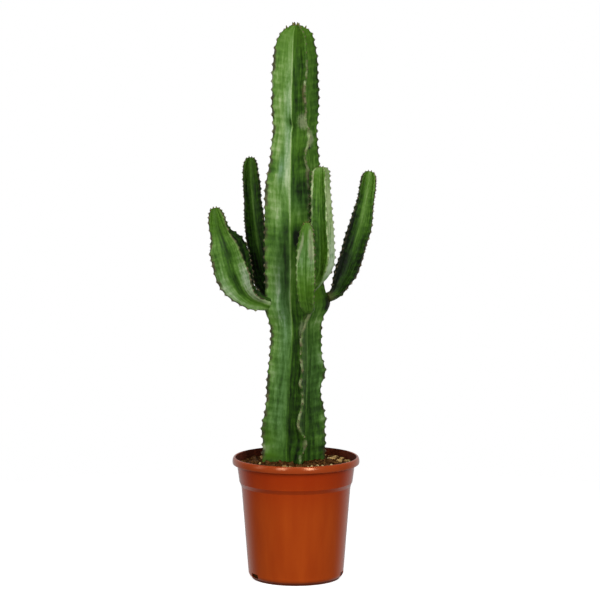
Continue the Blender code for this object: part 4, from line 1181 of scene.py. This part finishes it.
def make_pot(finish):
    pot = rings_of("pot_shell", POT_SIDES, pot_profile())
    for heading in DRAIN_HEADINGS:
        a = math.radians(heading)
        place = (DRAIN_R * math.cos(a), DRAIN_R * math.sin(a), DRAIN_Z)
        box = {"size": 1.0, "location": place, "rotation": (0.0, 0.0, a), "scale": DRAIN_SLOT}
        slot = shape(bpy.ops.mesh.primitive_cube_add, **box)
        with all_in_edit_mode():
            bpy.ops.mesh.bevel(offset=DRAIN_BEVEL, segments=3)
        cut = pot.modifiers.new("drain_slot", "BOOLEAN")
        cut.operation, cut.solver, cut.object = "DIFFERENCE", "EXACT", slot
        bpy.ops.object.select_all(action="DESELECT")
        bpy.context.view_layer.objects.active = pot
        pot.select_set(True)
        bpy.ops.object.modifier_apply(modifier=cut.name)
        bpy.data.objects.remove(slot, do_unlink=True)
    bpy.ops.object.shade_smooth_by_angle(angle=math.radians(SHARP_ANGLE))
    pot.data.materials.append(finish)
    # The peat staining, partly painted shade, covers the inner wall and fades just below the rim's top. At
    # the back it covers that too.
    stain_and_shade_layer = pot.data.attributes.new("stained", "FLOAT", "POINT")
    for vertex, value in zip(pot.data.vertices, stain_and_shade_layer.data):
        r, z = math.hypot(vertex.co.x, vertex.co.y), vertex.co.z
        inside = r < inner_radius(z) + 0.0004 + max(0.0, z - RIM_SKIRT_Z) * 0.45
        value.value = float(inside) * float(eased((STAIN_SHADE_TOP - z) / STAIN_SHADE_FADE))
        if z > RIM_TOP_Z and r < RIM_TOP_R:
            value.value = max(value.value, float(eased((vertex.co.y - STAIN_SHADE_BACK) / STAIN_SHADE_BACK)))
    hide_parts("pot")
    return pot


def inner_radius(z):
    """Radius of the pot's inner wall at a height."""
    radii, heights = zip(*INNER_WALL)
    return np.interp(z, heights, radii)


def soil_height(x, y):
    mound = SOIL_MOUND * (1 - (math.hypot(x, y) / inner_radius(SOIL_EDGE_Z)) ** 2)
    spot = Vector((x, y, 0.0))
    rough = noise.noise(spot * SOIL_LUMPS) + 0.5 * noise.noise(spot * SOIL_CRUMBS)
    return SOIL_EDGE_Z + mound + SOIL_ROUGHNESS * rough


def trunk_foot(turns):
    """How far the trunk reaches from its middle where it leaves the soil, in some directions."""
    radius = TRUNK_GIRTH[0][1]
    out, side, _ = half_section(np.array([radius]), np.zeros(1))
    reach = radius * np.hypot(out[0], side[0])
    off = np.arctan2(side[0], out[0])
    first = math.radians(RIB_HEADING + TRUNK_TWIST[0][1])
    rest = np.abs((turns - first + RIB_TURN / 2) % RIB_TURN - RIB_TURN / 2)
    return np.interp(rest, off[::-1], reach[::-1])


def make_soil(finish):
    turns = np.linspace(-math.pi, math.pi, SOIL_SIDES + 1)[:-1]
    cos, sin = np.cos(turns), np.sin(turns)

    def ring_of(x, y, z):
        return np.stack([x, y, z + 0 * cos], axis=1)

    foot = trunk_foot(turns) + GAP
    cx = TRUNK_ROUTE[0][0]
    edge = inner_radius(SOIL_EDGE_Z) - GAP
    rows = [ring_of(cx + r * cos, r * sin, TRUNK_FOOT_Z - GAP) for r in (0, foot)]
    for ring in range(SOIL_RINGS + 1):
        share = ring / SOIL_RINGS
        x = (cx + foot * cos) * (1 - share) + edge * cos * share
        y = foot * sin * (1 - share) + edge * sin * share
        z = np.array([soil_height(a, b) for a, b in zip(x, y)])
        fine = np.array([noise.noise(Vector((a, b, 0.7)) * SOIL_FINE) for a, b in zip(x, y)])
        rows.append(ring_of(x, y, z + SOIL_FINE_HEIGHT * fine * (ring < SOIL_RINGS)))
    for z in (BAND_FOOT[1] + WALL, STEP_FOOT[1], WALL_FOOT[1], CORNER_Z, FLOOR + GAP):
        r = inner_radius(z) - GAP
        rows.append(ring_of(r * cos, r * sin, z))
    rows.append(ring_of(0 * cos, 0 * sin, FLOOR + GAP))
    soil = wrapped("soil_bed", np.array(rows), {}, finish)
    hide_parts("soil")
    return soil


def on_soil(draw, margin):
    """A random free spot on the soil."""
    while True:
        heading = draw.uniform(-math.pi, math.pi)
        r = (inner_radius(SOIL_EDGE_Z) - margin) * math.sqrt(draw.uniform(0.0, 1.0))
        x, y = r * math.cos(heading), r * math.sin(heading)
        from_trunk = Vector((x - TRUNK_ROUTE[0][0], y))
        reach = trunk_foot(np.array([math.atan2(from_trunk.y, from_trunk.x)]))[0]
        if from_trunk.length > reach + margin:
            return x, y


def scatter(name, masters, count, sizes, flat, sink, finish, draw, spots=()):
    """Lumps or chips lying on the soil, in as many pieces as there are masters."""
    made = []
    for number, master in enumerate(masters):
        places = []
        for n in range(count // len(masters)):
            size = draw.uniform(*sizes)
            x, y = spots[n] if number == 0 and n < len(spots) else on_soil(draw, 0.6 * size)
            turn = Euler((draw.uniform(-0.6, 0.6), draw.uniform(-0.6, 0.6), draw.uniform(-math.pi, math.pi)))
            lump = (size, size * draw.uniform(0.55, 0.9), size * draw.uniform(*flat))
            place = Matrix.Translation((x, y, soil_height(x, y) + sink * lump[2]))
            places.append(place @ turn.to_matrix().to_4x4() @ sized(*lump))
        made.append(strewn(f"{name}_{number + 1}", master, places, finish))
    return made


def stage_floor():
    """A pale studio floor that fades out into the white round it.

    It glows a little, as paper lit from all round, and throws no light or reflection on the plant.
    """
    round_sheet = {"vertices": 96, "radius": 3.0, "fill_type": "NGON", "location": (0, 0, FLOOR_Z)}
    floor = shape(bpy.ops.mesh.primitive_circle_add, **round_sheet)
    floor.name = "studio_floor"
    floor.visible_diffuse = floor.visible_glossy = False
    finish = bpy.data.materials.new("studio_paper")
    add = emptied(finish)
    reach = add("VectorMath", (add("TexCoord", out="Object"),), "Value", operation="LENGTH")
    fade = add("MapRange", (reach, *FLOOR_FADE), **SMOOTH)
    paper = add("BsdfDiffuse", {"Color": "#f7f7f7"})
    lit = add("AddShader", (paper, add("Emission", {"Strength": FLOOR_GLOW})))
    mixed = add("MixShader", (fade, lit, add("BsdfTransparent")))
    add("OutputMaterial", {"Surface": mixed})
    floor.data.materials.append(finish)


def panel(name, heading, distance, height, size, power, aim):
    """A softbox that stands in a direction and points at a height on the plant."""
    a = math.radians(heading)
    light = bpy.data.lights.new(name, "AREA")
    light.shape = "RECTANGLE"
    light.size, light.size_y = size
    light.energy = power
    lamp = bpy.data.objects.new(name, light)
    lamp.location = (distance * math.cos(a), distance * math.sin(a), height)
    toward = Vector((0.0, 0.0, aim)) - lamp.location
    lamp.rotation_euler = toward.to_track_quat("-Z", "Y").to_euler()
    bpy.context.scene.collection.objects.link(lamp)


def light_studio():
    """A white backdrop behind the plant, a dim room before it, a pale floor below, and softboxes."""
    world = bpy.data.worlds.new("studio")
    bpy.context.scene.world = world
    add = emptied(world)
    way = add("TexCoord", out="Generated")
    glossy = add("LightPath", out="Is Glossy Ray")
    back = add("Mix", {0: glossy, 2: WORLD_BACK, 3: WORLD_BACK_SHINE})
    behind = add("MapRange", (add("SeparateXYZ", (way,), "Y"), 0.15, 0.75, WORLD_FILL, back), **SMOOTH)
    below = add("MapRange", (add("SeparateXYZ", (way,), "Z"), -0.5, -0.1, WORLD_BELOW, 0.0), **SMOOTH)
    below = add("Mix", {0: glossy, 2: below, 3: 0.0})
    around = add("Math", (behind, below), operation="MAXIMUM")
    level = add("Mix", {0: add("LightPath", out="Is Camera Ray"), 2: around, 3: WORLD_WHITE})
    sky = add("Background", {"Color": "#ffffff", "Strength": level})
    add("OutputWorld", {"Surface": sky})
    for softbox in SOFTBOXES:
        panel(*softbox)


def place_camera():
    data = bpy.data.cameras.new("camera")
    data.lens = CAMERA_LENS
    data.sensor_width = CAMERA_SENSOR
    data.clip_end = 50.0
    camera = bpy.data.objects.new("camera", data)
    camera.location = CAMERA_PLACE
    camera.rotation_euler = (math.radians(CAMERA_PITCH), 0.0, 0.0)
    bpy.context.scene.collection.objects.link(camera)
    bpy.context.scene.camera = camera


def main():
    draw = random.Random(SOIL_SEED)
    noise.seed_set(SOIL_SEED)  # so that the chips bend the same way every time
    finishes = {
        "skin": euphorbia_skin(),
        # The grey-brown shield under each pair of spines: corky horn, matt.
        "shield": grained(
            "spine_shield_cork", SHIELD_LOOK, {"Scale": 120.0, "Detail": 4.0}, {"Roughness": 0.75}
        ),
        # The spines: dry horn, dark brown with greyer tips, slightly glossy.
        "horn": grained("spine_horn", HORN_LOOK, {"Scale": 350.0, "Detail": 2.0}, {"Roughness": 0.45}),
        # The young scales at the tips: leafy and half dried.
        "scale": earth("dried_tip_scale", SCALE_LOOK, 300.0, 0.7, 0.0003),
    }
    plastic = terracotta_polypropylene()
    peat = earth("peat", PEAT_LOOK, 700.0, 0.95, 0.0012)  # milled peat, dark and fibrous
    bark = earth("bark_chip", CHIP_LOOK, 420.0, 0.85, 0.0005)  # composted pine bark
    pumice = earth("pumice", PUMICE_LOOK, 900.0, 0.9, 0.0003)  # crushed pumice, stained cream
    straw = earth("pale_wood_chip", STRAW_LOOK, 500.0, 0.85, 0.0005)  # fresh chipped wood

    pieces = {
        "terracotta_plastic": [make_pot(plastic)],
        "potting_soil": [make_soil(peat)],
        "euphorbia_skin": [],
    }
    barks, crumbs = [chip_master(s) for s in (1, 5, 9)], [crumb_master(1, 0.9, s) for s in (2, 4)]
    grains = [crumb_master(2, 0.6, 7)]
    for strew in (
        ("bark_chips", barks, 150, (0.0035, 0.0095), (0.2, 0.4), 0.25, bark, draw, CHIP_SPOTS),
        ("peat_crumbs", crumbs, 900, (0.0010, 0.0034), (0.6, 0.9), 0.2, peat, draw),
        ("pumice_grains", grains, 30, (0.0022, 0.0044), (0.6, 0.9), 0.3, pumice, draw, GRAIN_SPOTS),
        ("pale_chips", [chip_master(13)], 16, (0.0050, 0.0082), (0.35, 0.60), 0.35, straw, draw, STRAW_SPOTS),
    ):
        pieces["potting_soil"] += scatter(*strew)
    for stem in (TRUNK, *ARMS):
        pieces["euphorbia_skin"] += dress_stem(Form(stem), finishes, draw)
    for slot, made in pieces.items():
        for piece in made:
            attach(piece, "root")
    stage_floor()
    light_studio()
    place_camera()
    bpy.context.scene.view_settings.view_transform = "Standard"


main()
